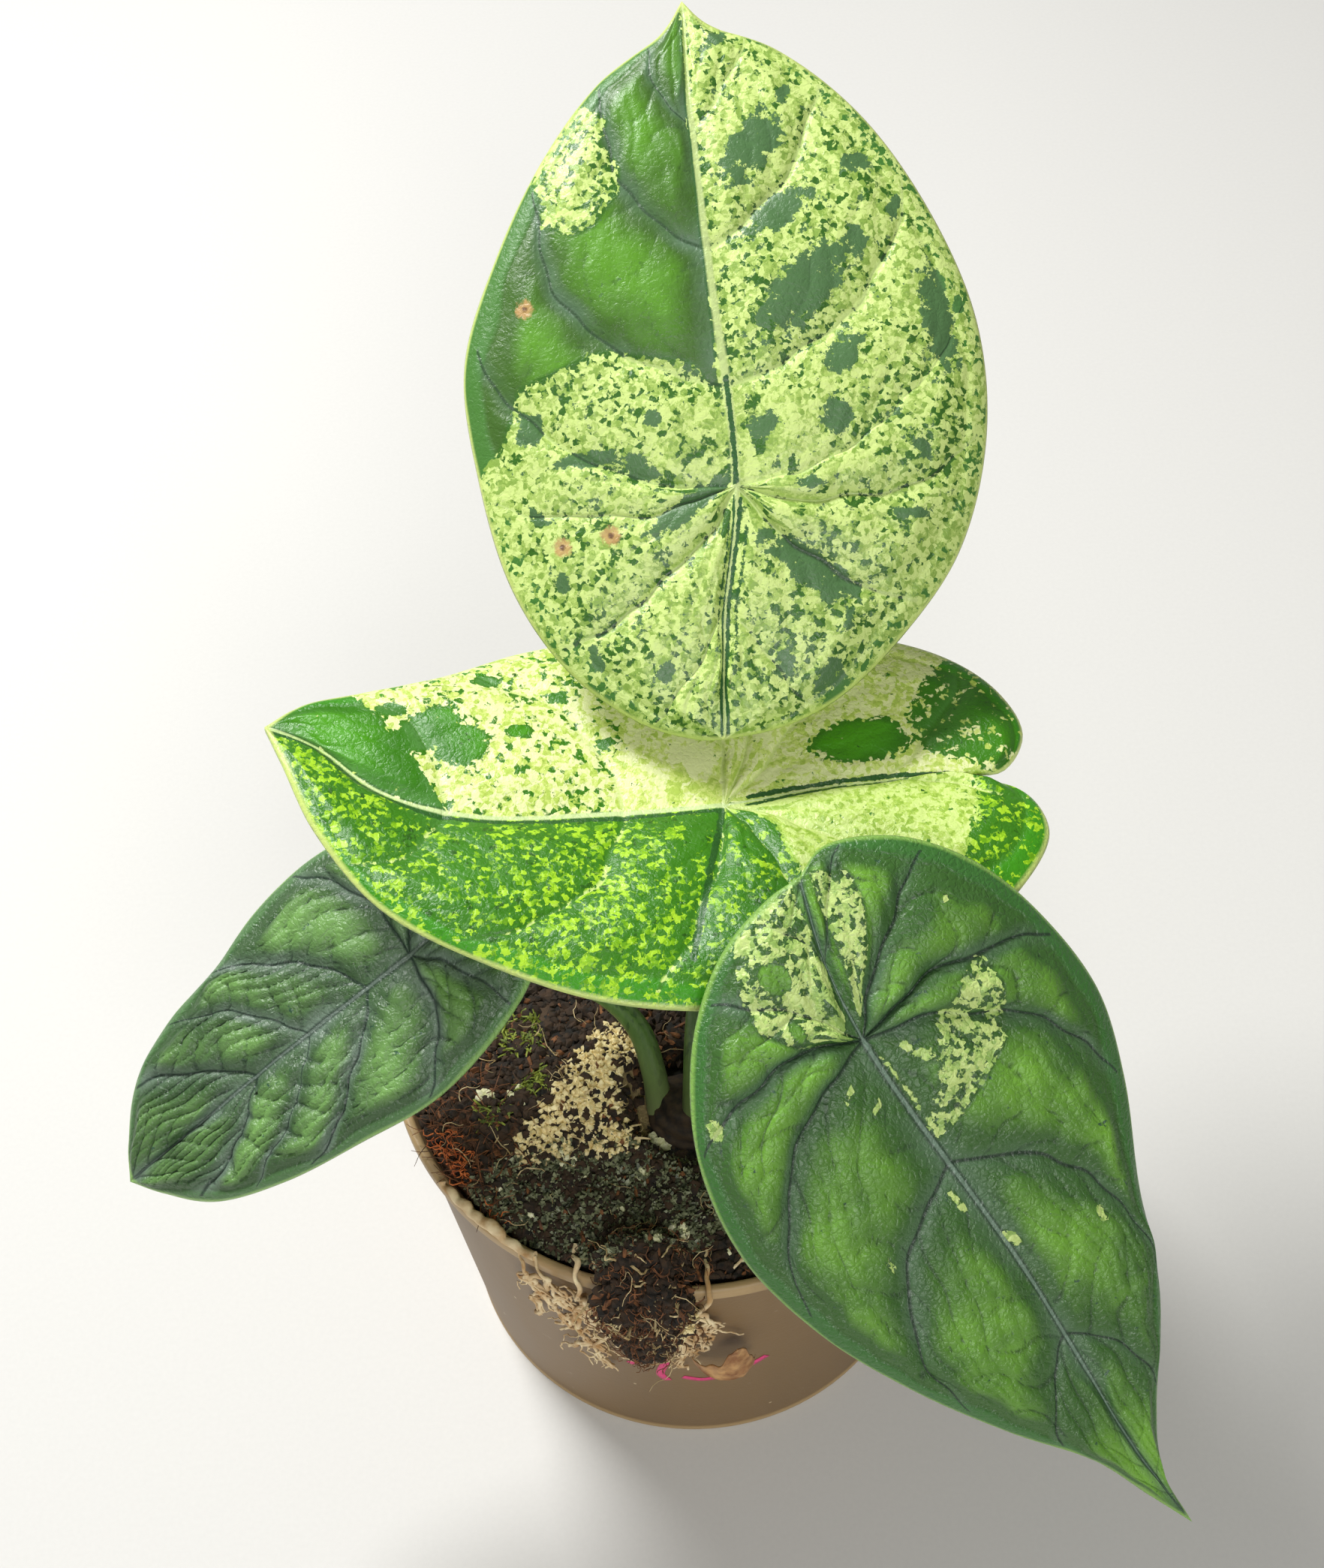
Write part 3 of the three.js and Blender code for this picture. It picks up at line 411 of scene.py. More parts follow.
def half_blade(leaf, outline, veins, hand, wave):
    """Grids over one half of a blade: its upper and lower points, and what its surface needs to
    know: distances in millimetres to the veins, the midrib and the margin, and the flow of the
    veins, which spots and streaks follow."""
    margin = smooth_curve(outline, 60)
    steps = np.hypot(*np.diff(margin, axis=0).T)
    reach = np.concatenate([[0], np.cumsum(steps)])
    margin_length = reach[-1]
    tip, sinus = leaf["axis"][0][0], leaf["axis"][-1][0]
    ends = [(tip, 0, 0, 0.3), *veins, (sinus, 1, 0, 0.3)]
    last = len(ends) - 2
    # steps from the midrib, at 0, to the margin, at 1: closer together at the rib and at the rim
    stretches = ((0, 0.1, 9), (0.1, 0.86, 38), (0.86, 1 - ROLLED_RIM, 9))
    s = [np.linspace(*stretch)[:-1] for stretch in stretches]
    s = np.concatenate([*s, 1 - ROLLED_RIM * np.cos(np.linspace(0, 1.5708, 8))])
    s[-1] = 1

    def vein_line(start, share, bow):
        """The points at s along a vein from start on the midrib to its share of the margin, which
        leaves the straight line by bow, and the length of that line."""
        ax, ay = start, axis_offset(leaf, start)
        bx = np.interp(share * margin_length, reach, margin[:, 0])
        by = np.interp(share * margin_length, reach, margin[:, 1])
        mx = (ax + bx) / 2 - hand * bow * (by - ay)
        my = (ay + by) / 2 + hand * bow * (bx - ax)
        p = (1 - s) ** 2 * ax + 2 * s * (1 - s) * mx + s * s * bx
        q = (1 - s) ** 2 * ay + 2 * s * (1 - s) * my + s * s * by
        return p, q, np.hypot(bx - ax, by - ay)

    columns = {}
    for i, (first, second) in enumerate(zip(ends, ends[1:])):
        dwell = first[0] == second[0]
        count = math.ceil((second[1] - first[1]) * margin_length / MARGIN_STEP) if dwell else 0
        count = max(count, math.ceil((first[0] - second[0]) / RIB_STEP), 4)
        t = np.linspace(0, 1, count, endpoint=i == last)[:, None]
        start, share, bow = (first[k] + (second[k] - first[k]) * t for k in range(3))
        p, q, length = vein_line(start, share, bow)
        # width of the panel between its two veins, and the distance to the nearer of them
        (first_p, first_q, _), (second_p, second_q, _) = (vein_line(*v[:3]) for v in (first, second))
        width = np.hypot(second_p - first_p, second_q - first_q)
        from_first = t * width / max(first[3], 0.2) if i > 0 else NO_VEIN_MM
        to_second = (1 - t) * width / max(second[3], 0.2) if i < last else NO_VEIN_MM
        known = {
            "p": p,
            "q": q,
            "length": length,
            "t": t,
            "shallow": (1 - first[3]) * (1 - t) + (1 - second[3]) * t,
            "u": share * margin_length,
            "vein": np.minimum(from_first, to_second),
            "panel": width,
            "start": start,
            "order": i,
        }
        for key, value in known.items():
            columns.setdefault(key, []).append(value + np.zeros(p.shape))
    grid = {k: np.vstack(each) for k, each in columns.items()}
    p, q, length, t = grid["p"], grid["q"], grid["length"], grid["t"]
    s = s + 0 * length
    v = s * length
    roam = np.clip(5 * s, 0, 1) * np.clip(6 * (1 - s), 0, 1) * np.minimum(1, length / 20)
    p = p + roam * (0.55 * np.sin(0.29 * q + 0.21 * p + wave) + 0.3 * np.sin(0.61 * q - 0.33 * p))
    q = q + roam * (0.55 * np.sin(0.27 * p - 0.16 * q + 3 * wave) + 0.3 * np.sin(0.57 * p + 0.4 * q))
    fade = np.minimum(1, length / 14)
    inner = np.minimum(1, s / 0.16) * np.clip((COLLECTIVE_VEIN - s) / 0.14, 0, 1)
    crest = np.sin(np.pi * np.clip(t, 0, 1)) ** 0.8
    swell = PANEL_RISE * (grid["shallow"] + (1 - grid["shallow"]) * crest) * inner
    edge = np.where(s > COLLECTIVE_VEIN, EDGE_DROP * ((s - COLLECTIVE_VEIN) / 0.12).clip(0) ** 1.6, 0)
    # branch veins leave each side vein slantwise towards the margin, and the panel swells between
    spacing, depth = leaf["branches"]
    drift = 0.22 * np.sin(grid["u"] * 0.19 + wave)
    drift += 0.16 * np.sin(v * 0.37 + 2 * wave + grid["u"] * 0.07)
    along_first = (v - 0.85 * t * grid["panel"]) / spacing + drift + 1.7 * grid["order"]
    along_second = (v - 0.6 * (1 - t) * grid["panel"]) / spacing - drift + 2.3 * grid["order"]
    room = np.minimum(1, grid["panel"] / 8) * inner
    swells = np.zeros(s.shape)
    branch = np.full(s.shape, float(FAR_MM))
    for phase, near in ((along_first, 1 - t), (along_second, t)):
        swells += depth * (abs(np.sin(np.pi * phase)) ** 0.5 - 0.6) * near**0.7
        gap = abs(phase - np.round(phase)) * spacing * 0.76
        branch = np.minimum(branch, gap / (1.05 * near.clip(0.05) ** 1.2))
    swells *= room * np.minimum(1, 4 * np.minimum(t, 1 - t) + 0.25)
    vein_width = 0.75 * (1 - 0.5 * s)
    groove = 0.28 * np.exp(-((grid["vein"] / vein_width) ** 2)) * np.clip((0.93 - s) / 0.1, 0, 1)
    strip = 0.22 * np.exp(-(((s - COLLECTIVE_VEIN) * length / 0.7) ** 2))
    from_tip = np.minimum(1, (tip - grid["start"]) / 30)
    from_sinus = np.minimum(1, (grid["start"] - sinus) / 15)
    ridge = np.exp(-((v / (0.3 + 0.5 * from_tip * from_sinus)) ** 2))
    branch_groove = 0.3 * depth * np.exp(-((branch / 0.5) ** 2)) * room
    height = (swell - edge + swells - branch_groove - groove - strip) * fade + 0.25 * ridge * from_tip
    under_vein = 0.5 * np.exp(-((grid["vein"] / 0.8) ** 2)) * (1 - s) * fade
    under_rib = (1.5 * ridge + under_vein) * from_tip * from_sinus
    rim_round = np.sqrt(np.clip(1 - ((s - (1 - ROLLED_RIM)) / ROLLED_RIM).clip(0) ** 2, 0, 1))
    middle = height - BLADE_THICKNESS / 2
    q_on_axis = np.where(s == 0, axis_offset(leaf, p), q)
    upper = bent(leaf, p, q_on_axis, middle + BLADE_THICKNESS / 2 * rim_round)
    lower = bent(leaf, p, q_on_axis, middle - BLADE_THICKNESS / 2 * rim_round - under_rib)
    side_offset = 0 if hand > 0 else 300
    facts = {
        "vein_mm": np.where(s < 0.95, grid["vein"], FAR_MM),
        "rib_mm": v,
        "edge_mm": (1 - s) * length,
        "strip_mm": (s - COLLECTIVE_VEIN) * length,
        "crest": crest * inner,
        "branch_mm": np.where(room > 0.3, branch, FAR_MM),
        "p_mm": p,
        "q_mm": q,
    }
    flow = np.stack([(grid["u"] + side_offset) / 100, v / 100], -1)
    return upper, lower, facts, flow


def add_fact(mesh, name, values):
    mesh.attributes.new(name, "FLOAT", "POINT").data.foreach_set("value", values)


def make_blade(name, leaf, material, fields):
    """Both halves of a blade as one closed mesh with its facts as attributes. fields turns p and q
    into the attributes that lay out the colour sectors."""
    points, faces, flows = [], [], []
    facts = {}
    halves = ((leaf["left"], leaf["left_veins"], 1, 0.4), (leaf["right"], leaf["right_veins"], -1, 1.9))
    for outline, veins, hand, wave in halves:
        upper, lower, known, flow = half_blade(leaf, outline, veins, hand, wave)
        rows, cols = upper.shape[:2]
        known["hand"] = np.full(known["p_mm"].shape, float(hand))
        known["hub_mm"] = np.hypot(known["p_mm"], known["q_mm"])
        known.update(fields(known["p_mm"], known["q_mm"], known))
        for under, layer in ((0, upper), (1, lower)):
            base = len(points)
            points += layer.reshape(-1, 3).tolist()
            flows.append(flow.reshape(-1, 2))
            for key, value in known.items():
                facts.setdefault(key, []).append(value.ravel())
            facts.setdefault("under", []).append(np.full(rows * cols, float(under)))
            index = base + np.arange(rows * cols).reshape(rows, cols)
            a, b = index[:-1, :-1].ravel(), index[:-1, 1:].ravel()
            c, d = index[1:, 1:].ravel(), index[1:, :-1].ravel()
            quad = np.stack([a, b, c, d] if (hand > 0) != bool(under) else [d, c, b, a], -1)
            faces += quad.tolist()
    piece = new_piece(name, points, faces, material)
    mesh = piece.data
    for key, value in facts.items():
        add_fact(mesh, key, np.concatenate(value))
    corners = np.empty(len(mesh.loops), int)
    mesh.loops.foreach_get("vertex_index", corners)
    mesh.uv_layers.new(name="flow").data.foreach_set("uv", np.concatenate(flows)[corners].ravel())
    shape = bmesh.new()
    shape.from_mesh(mesh)
    bmesh.ops.remove_doubles(shape, verts=shape.verts, dist=2e-6)
    shape.to_mesh(mesh)
    shape.free()
    mesh.shade_smooth()
    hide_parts("leaf_" + name.split("_")[1])
    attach(piece, "root")
    return piece


def region(outline, p, q, width=1.2):
    """1 inside the outline and 0 outside, crossing 0.5 on it."""
    return np.clip(0.5 + depth_inside(outline, p, q) / (2 * width), 0, 1)


def patches(blobs, p, q):
    """Over 0.5 inside any of the ellipses (p, q, half length, half width, turn in degrees)."""
    most = np.zeros(p.shape)
    for at_p, at_q, long, short, turn in blobs:
        c, s = math.cos(math.radians(turn)), math.sin(math.radians(turn))
        along = ((p - at_p) * c + (q - at_q) * s) / long
        across = ((q - at_q) * c - (p - at_p) * s) / short
        most = np.maximum(most, np.clip(1 - 0.5 * (along**2 + across**2), 0, 1))
    return most


def stripe(distance, centre, half_width):
    """Over 0.5 within half_width of the centre."""
    return np.clip(1 - 0.5 * abs(distance - centre) / half_width, 0, 1)


# Alocasia leaf: a leathery cuticle, satin with a silvery bloom along its sunken veins, partly painted
# sheen. Where cells lack chlorophyll it is pale lime, broken up by millimetre islands of green between the
# net veins.


def leaf_skin(name, look):
    material, tree, shader, place = new_material(name)
    fact = {}
    known = "green deep dark_line tint scar_mm vein_mm branch_mm rib_mm edge_mm strip_mm crest hub_mm under"
    for key in known.split():
        fact[key] = add(tree, "ShaderNodeAttribute", attribute_name=key).outputs["Fac"]
    flow = add(tree, "ShaderNodeUVMap", uv_map="flow").outputs[0]
    wobble = add(tree, "ShaderNodeTexNoise", {"Vector": place, "Scale": 800, "Detail": 3}).outputs["Color"]
    pushed = {0: wobble, 1: (0.0016, 0.0016, 0.0016), 2: place}
    warped = add(tree, "ShaderNodeVectorMath", pushed, operation="MULTIPLY_ADD").outputs[0]
    # islands a millimetre wide over the blade, drawn out into rays round the petiole
    islands = add(tree, "ShaderNodeTexVoronoi", {"Vector": warped, "Scale": 980}).outputs["Color"]
    island = add(tree, "ShaderNodeSeparateColor", {0: islands})
    ray_place = add(tree, "ShaderNodeMapping", {"Vector": flow, "Scale": (22, 40, 1)}).outputs[0]
    pushed = {0: wobble, 1: (0.7, 0.7, 0), 2: ray_place}
    ray_warped = add(tree, "ShaderNodeVectorMath", pushed, operation="MULTIPLY_ADD").outputs[0]
    rays = add(tree, "ShaderNodeTexVoronoi", {"Vector": ray_warped, "Scale": 1}).outputs["Color"]
    ray = add(tree, "ShaderNodeSeparateColor", {0: rays})
    from_hub = ramp(tree, fact["hub_mm"], 9, 20)
    grain, other_grain = (
        add(tree, "ShaderNodeMix", {0: from_hub, 2: ray.outputs[i], 3: island.outputs[i]}).outputs[0]
        for i in (0, 1)
    )
    cloud = noisy(tree, place, 300, 4, 0.65)
    drift = ramp(tree, cloud, 0.32, 0.68)
    chance = add(tree, "ShaderNodeMix", {0: 0.4, 2: grain, 3: drift}).outputs[0]
    fine = noisy(tree, warped, 1000, 4, 0.65)
    broad = noisy(tree, place, 85, 4)
    # where it is fully green, in dark patches, and the two mottling tones of the pale ground
    lack = maths(tree, "SUBTRACT", chance, fact["green"])
    is_green = ramp(tree, lack, -0.03, 0.03, 1, 0)
    tear = noisy(tree, place, 380, 5, 0.7)
    ragged = ramp(tree, tear, 0.3, 0.7, -0.6, 0.6)
    ragged_deep = maths(tree, "ADD", fact["deep"], ragged)
    is_deep = ramp(tree, ragged_deep, 0.47, 0.53)
    fine_part = maths(tree, "MULTIPLY", fine, 0.65)
    speckle = maths(tree, "MULTIPLY_ADD", other_grain, 0.35, fine_part)
    is_mottled = ramp(tree, speckle, 0.47, 0.53)
    is_mossy = ramp(tree, speckle, 0.58, 0.63, end=0.8)
    full = maths(tree, "MAXIMUM", is_green, is_deep)
    # painted light and shade: lighter towards the middle of each panel, darker towards the veins; silvery
    # along the veins, partly painted sheen; dark lines on the veins
    middle = maths(tree, "MULTIPLY", fact["crest"], broad)
    lit_crest_share = ramp(tree, middle, 0.22, 0.62)
    # a silvery band along the veins and the midrib: partly the cuticle's own tone, partly painted sheen
    near_vein = ramp(tree, fact["vein_mm"], 0.4, 3.6, 1, 0)
    near_rib = ramp(tree, fact["rib_mm"], 0.8, 4, 1, 0)
    sheen_bloom_line = maths(tree, "MAXIMUM", near_vein, near_rib)
    sheen_bloom_part = ramp(tree, broad, 0.3, 0.6, end=look["sheen_bloom_share"])
    sheen_bloom = maths(tree, "MULTIPLY", sheen_bloom_line, sheen_bloom_part)
    on_vein = ramp(tree, fact["vein_mm"], 0.15, 0.6, 0.85, 0)
    on_branch = ramp(tree, fact["branch_mm"], 0.08, 0.5, look["branch_share"], 0)
    on_line = maths(tree, "MAXIMUM", on_vein, on_branch)
    rib_half = look["rib_half"]
    on_rib = ramp(tree, fact["rib_mm"], rib_half / 2, rib_half, 0.9, 0)
    by_rib = ramp(tree, fact["rib_mm"], rib_half, rib_half + 0.5, 0.8, 0)
    rib_side = maths(tree, "MULTIPLY", by_rib, full)
    under_line = maths(tree, "MULTIPLY", on_line, fact["under"])
    broken = ramp(tree, fine, 0.3, 0.7, -0.25, 0.25)
    dark_line = maths(tree, "ADD", fact["dark_line"], broken)
    is_dark_line = ramp(tree, dark_line, 0.45, 0.55)
    on_strip = ramp(tree, fact["strip_mm"], 0, 1.2, end=0.6)
    strip_here = maths(tree, "MULTIPLY", on_strip, full)
    on_rim = ramp(tree, fact["edge_mm"], 0.45, 1.1, 0.9, 0)
    ragged_scar = maths(tree, "MULTIPLY_ADD", fine, -3, fact["scar_mm"])
    on_scar = ramp(tree, ragged_scar, -0.2, 0.5, 0.85, 0)
    in_scar = ramp(tree, fact["scar_mm"], 0.45, 0.8, 0.9, 0)
    # the leaf green is mixed towards its lighter tone by the panel's crest, as a painted highlight
    colour, mottled, mossy, leafy, line = (
        blend(tree, share, look[first], look[second])
        for first, second, share in (
            ("pale", "lime", fact["tint"]),
            ("mottle", "lime_mottle", fact["tint"]),
            ("moss", "lime_moss", fact["tint"]),
            ("green", "lit_crest", lit_crest_share),
            ("pale_vein", "vein", full),
        )
    )
    # silvery colour along the veins, partly the cuticle's own and partly painted sheen
    sheen_bloomed = blend(tree, sheen_bloom, leafy, look["sheen_bloom"])
    in_pale = ramp(tree, fact["green"], 0.6, 0.9, 1, 0)
    island_green = blend(tree, in_pale, sheen_bloomed, look["island"])
    for share, over in (
        (is_mottled, mottled),
        (is_mossy, mossy),
        (is_green, island_green),
        (is_deep, look["deep"]),
        (strip_here, look["strip"]),
        (on_line, line),
        (rib_side, look["line"]),
        (on_rib, look["rib"]),
        (is_dark_line, look["line"]),
        (on_scar, "#c49a63"),
        (in_scar, "#5b3b25"),
        (on_rim, look["rim"]),
        (fact["under"], look["under"]),
        (under_line, look["under_vein"]),
    ):
        colour = blend(tree, share, colour, over)
    satin = ramp(tree, cloud, 0.3, 0.7, 0.28, 0.45)
    # net veins 1.4 mm apart, sunk a tenth of a millimetre, and a finer grain
    net = add(tree, "ShaderNodeTexVoronoi", {"Vector": warped, "Scale": 700}, feature="DISTANCE_TO_EDGE")
    sunk = ramp(tree, net.outputs["Distance"], 0, 0.25)
    net_bump = relief(tree, sunk, look["net"], 0.0004)
    skin_bump = relief(tree, fine, 0.5, 0.0003, net_bump)
    fill(tree, shader, {"Base Color": colour, "Roughness": satin, "Normal": skin_bump})
    return material


BACK_GREEN = [(100, 3), (91, -3.5), (72, -2), (41, -1), (15.9, 0.2), (22.9, 5.3), (27.2, 20.3),
              (22.9, 35.9), (13.8, 39.8), (8.7, 46.1), (9, 60), (60, 60), (100, 30)]
BACK_MINT = [(74.9, 23.7), (73.5, 17), (70, 13.6), (66, 15.8), (61, 12.6), (56, 13.6), (50.5, 18.5)]
BACK_MINT += [(49.5, 22), (52.5, 27.5), (58, 27), (63.5, 30.7), (69, 26.5)]
BACK_PATCHES = [
    (60.7, -11.6, 8.5, 4, -39), (48, -14.9, 7.5, 3, -58), (33.9, -17.2, 12, 4.5, -50),
    (26, -40.9, 10, 3, 2), (21.3, -22.8, 4, 2.8, -45), (9.9, -19.7, 3.5, 2.6, -20),
    (9.9, -5.8, 3, 2.2, -40), (56, -30.9, 3.5, 1.8, -80), (-16.6, -11.5, 11, 3.2, 48),
    (-36.7, -12.3, 4, 2.8, 0), (-32.9, -4, 2.4, 1.8, 0), (8.7, 24.7, 6, 1.4, 86),
    (6.1, 17.3, 4, 1.9, 68), (-2.5, 9, 9.5, 2, -60), (15.6, 35.1, 3, 2.4, 0),
    (-27, 29, 2.8, 1, 10), (-35, 30, 3.6, 2, 30), (-31, 17, 1.8, 1.5, 0), (-26, -17, 3, 1.2, -10),
    (27.7, -45.4, 2, 1.3, 0), (21.8, 4.5, 4, 1.3, 60), (70, -19, 2.5, 1.3, -20), (82, -8, 3, 1.4, -50),
    (47, -36, 2.2, 1.2, -40), (41, -28, 3.2, 1.6, 10), (-9, -30, 3.4, 1.2, 80), (3, -34, 2.8, 1.6, 30),
    (-1, -13, 2.6, 1.2, 80), (-13, 33, 2.2, 1.2, 0), (0, 36, 2.4, 1.1, 20), (14, 13, 2, 1.4, 0),
]


def back_fields(p, q, known):
    in_green = region(BACK_GREEN, p, q) * (1 - region(BACK_MINT, p, q))
    rib = known["rib_mm"]
    lines = stripe(rib, 0.9, 0.5) * (p < -2) + 0.6 * stripe(rib, 3, 0.8) * (p < -6) * (p > -32)
    lines += stripe(rib, 0, 0.4) * (p < 20) * (p > 0)
    deep = np.maximum(patches(BACK_PATCHES, p, q), 0.1)
    speckled = 0.3 + 0.08 * np.sin(0.11 * p + 1) * np.sin(0.13 * q)
    scars = [(37.4, 32.9), (-6.3, 32.2), (-5.5, 23.3)]
    return {
        "green": np.maximum(in_green, speckled),
        "deep": deep * (1 - in_green),
        "dark_line": lines,
        "tint": 0 * p,
        "scar_mm": np.minimum.reduce([np.hypot(p - x, q - y) for x, y in scars]),
    }


MIDDLE_TIP = [(90, -9), (84, -16), (78, -18), (70, -19), (62, -11), (55, -3), (49, 6), (62, 2.5), (74, -6)]
MIDDLE_FAR_LOBE = [(-33, -19), (-39, -33), (-50, -38), (-60, -18), (-50, -9), (-38, -12)]
MIDDLE_PALE_LOBE = [(0, 0), (-9, 5), (-13, 14), (-16, 26), (-30, 24), (-41, 14), (-45, 4)]
MIDDLE_PALE_LOBE += [(-46, -8.5), (-20, -5)]
MIDDLE_PATCHES = [
    (48.6, -8.5, 5.5, 4.5, 0), (55, -11, 7.5, 4, 35), (44.8, -24, 2.4, 1.8, 0), (-25.1, -14.3, 10, 4.4, 12),
    (31, -21, 2, 1.4, 0), (62, -15, 3, 1.6, 0), (22, -11, 2.2, 1.2, 30), (38, -12, 2.4, 1.5, 10),
]


def middle_fields(p, q, known):
    near = np.where(known["hand"] > 0, 1.0, 0.0) * (1 - region(MIDDLE_PALE_LOBE, p, q))
    lobe_end = region([(-46, 30), (-43, 12), (-47, 0), (-70, -6), (-70, 30)], p, q)
    solid = np.maximum(region(MIDDLE_TIP, p, q), patches(MIDDLE_PATCHES, p, q))
    far = np.maximum(0.12 + 0.14 * (p > 20), np.clip(2 * solid - 0.5, 0, 0.97))
    far = np.maximum(far, 0.72 * region(MIDDLE_FAR_LOBE, p, q))
    mottled = 0.6 + 0.07 * np.sin(0.12 * p + 2) + 0.16 * region(MIDDLE_TIP, p, q, 6)
    green = np.maximum(far * (1 - near), mottled * np.maximum(near, lobe_end))
    suture = stripe(known["rib_mm"], 1.7, 0.8) * (p < -4) * (p > -44)
    line = stripe(known["rib_mm"], 1, 0.35) * (p > 0) * (known["hand"] > 0)
    brown = 1.2 * stripe(abs(p - 0.15 * q), 0, 0.5) * (q > 1.5) * (q < 36) * (known["hand"] > 0)
    tint = np.maximum(near, np.maximum(lobe_end, 0.45 * region(MIDDLE_PALE_LOBE, p, q)))
    return {
        "green": green,
        "deep": 0.16 * near,
        "dark_line": np.maximum(np.maximum(suture, line), brown),
        "tint": tint,
        "scar_mm": FAR_MM + 0 * p,
    }


RIGHT_SECTORS = [
    [(-28.7, 4.3), (-28.9, -3.9), (-25.6, -10.1), (-18.2, -13.7), (-11.2, -14.6), (-5.7, -10.6)]
    + [(-1, -1.5)],
    [(-29.1, 8.1), (-25.2, 13.9), (-19.6, 13.1), (-13, 9.3), (-6.4, 3.3), (-0.5, 0.5)],
    [(-0.2, 21.9), (-0.1, 25.4), (6.1, 25.9), (14.6, 21.1), (18, 14.1), (20.3, 8.9), (22.8, 1.4)]
    + [(17.5, 1.5), (13.8, 6.4), (9.8, 9.1), (3.7, 12.2), (2.7, 17.6)],
    [(0.5, 0.5), (13.5, 0.9), (17.5, 1.5), (14, 2.8), (6, 1.9)],
    [(1, 2), (6, 4.5), (10.5, 8), (9.5, 9.6), (4, 5.8)],
]
RIGHT_FLECKS = [
    (-2, -29.4, 2.4, 1.5, 0), (33.4, -1.2, 3, 0.9, 10), (44.8, 3.4, 3, 1.1, 30), (51.2, 19.2, 1.6, 1, 0),
    (6, -7, 1.6, 0.8, -50), (11, -4.6, 1.8, 0.8, -60), (35.5, -17, 1.2, 0.8, 0), (-12, 25, 0.8, 0.8, 0),
]


def plain_fields(p, green):
    return {"green": green, "deep": 0 * p, "dark_line": 0 * p, "tint": 0 * p, "scar_mm": FAR_MM + 0 * p}


def right_fields(p, q, known):
    mint = np.maximum.reduce([region(sector, p, q) for sector in RIGHT_SECTORS])
    hole = patches([(-17.5, -7.2, 3, 2.4, 20), (-8, -9, 2, 1, 0), (8, 19, 1.6, 1, 40)], p, q)
    mint = mint * (1 - np.clip(2 * hole - 0.5, 0, 1))
    fleck = np.clip(3 * patches(RIGHT_FLECKS, p, q) - 1.5, 0, 1)
    green = 1.02 - np.maximum(0.6 * np.clip(2 * mint - 0.5, 0, 1), 0.9 * fleck)
    return plain_fields(p, green)


def left_fields(p, q, known):
    return plain_fields(p, 1.02 + 0 * p)


# Each look's second green is a painted highlight for the middle of each panel, and its silvery vein colour
# is partly painted sheen.
LOOKS = {
    "back": {
        "pale": "#d3e98b", "mottle": "#aecb66", "moss": "#83a843", "island": "#3a6b20",
        "lime": "#c9e860", "lime_mottle": "#8fc23a", "lime_moss": "#6fa32c",
        "green": "#446a28", "lit_crest": "#5f9a28", "deep": "#527848", "sheen_bloom": "#6a8570", "sheen_bloom_share": 0.7,
        "vein": "#2c4a2a", "branch_share": 0.35, "pale_vein": "#c4da86", "rib": "#c3d68c", "rib_half": 0.8,
        "line": "#2f5f2c", "strip": "#4f8a3c", "rim": "#cfe07f",
        "under": "#a9bc7c", "under_vein": "#d3dca0", "net": 0.14,
    },
    "middle": {
        "pale": "#e9f1ac", "mottle": "#d2e47a", "moss": "#acca4c", "island": "#3a7a10",
        "lime": "#a8d828", "lime_mottle": "#84bb10", "lime_moss": "#5c980a",
        "green": "#35780a", "lit_crest": "#4c9c0c", "deep": "#285c0a", "sheen_bloom": "#7fb070", "sheen_bloom_share": 0.4,
        "vein": "#3f7a1c", "branch_share": 0.3, "pale_vein": "#cfe08a", "rib": "#cfe3a0", "rib_half": 0.6,
        "line": "#2a5c20", "strip": "#3f9a14", "rim": "#cfe07f",
        "under": "#a9bf74", "under_vein": "#d8e2a4", "net": 0.2,
    },
    "left": {
        "pale": "#a9c88a", "mottle": "#8fb070", "moss": "#8fb070", "island": "#435f38",
        "lime": "#a9c88a", "lime_mottle": "#8fb070", "lime_moss": "#8fb070",
        "green": "#415f38", "lit_crest": "#74a055", "deep": "#33573f", "sheen_bloom": "#84968a", "sheen_bloom_share": 0.6,
        "vein": "#22352a", "branch_share": 0.6, "pale_vein": "#22352a", "rib": "#66756a", "rib_half": 0.4,
        "line": "#22352a", "strip": "#5c8a50", "rim": "#8fb866",
        "under": "#7d8f68", "under_vein": "#b3bf96", "net": 0.35,
    },
    "right": {
        "pale": "#c6dc83", "mottle": "#b0cf70", "moss": "#86aa50", "island": "#3c6229",
        "lime": "#cfe388", "lime_mottle": "#b6d478", "lime_moss": "#86aa50",
        "green": "#3d662a", "lit_crest": "#74ac36", "deep": "#34583a", "sheen_bloom": "#6c8573", "sheen_bloom_share": 0.42,
        "vein": "#1f3324", "branch_share": 0.55, "pale_vein": "#c9dd90", "rib": "#738c78", "rib_half": 0.4,
        "line": "#203628", "strip": "#3d7834", "rim": "#86b252",
        "under": "#7f9366", "under_vein": "#b5c295", "net": 0.35,
    },
}
FIELDS = {"back": back_fields, "middle": middle_fields, "left": left_fields, "right": right_fields}
for name, leaf in LEAVES.items():
    skin = leaf_skin("leaf_cuticle_" + name, LOOKS[name])
    blade = make_blade("blade_" + name, leaf, skin, FIELDS[name])

# The potting mix: peat and coir crumbs that fill the pot nearly to the lip, heaped left of the
# crown with pale root grit, mossy and black at the front, where a tongue of coir hangs over the lip.

CROWN = (0.5, -20.5)
CROWN_LEVEL = 87.6
CROWN_CLEAR = 14.5  # the mix is level, and bare of grit, this near to the crown
MIX_GAP = 0.3
MIX_LEVEL = 86.5
MIX_FOOT = 3.6


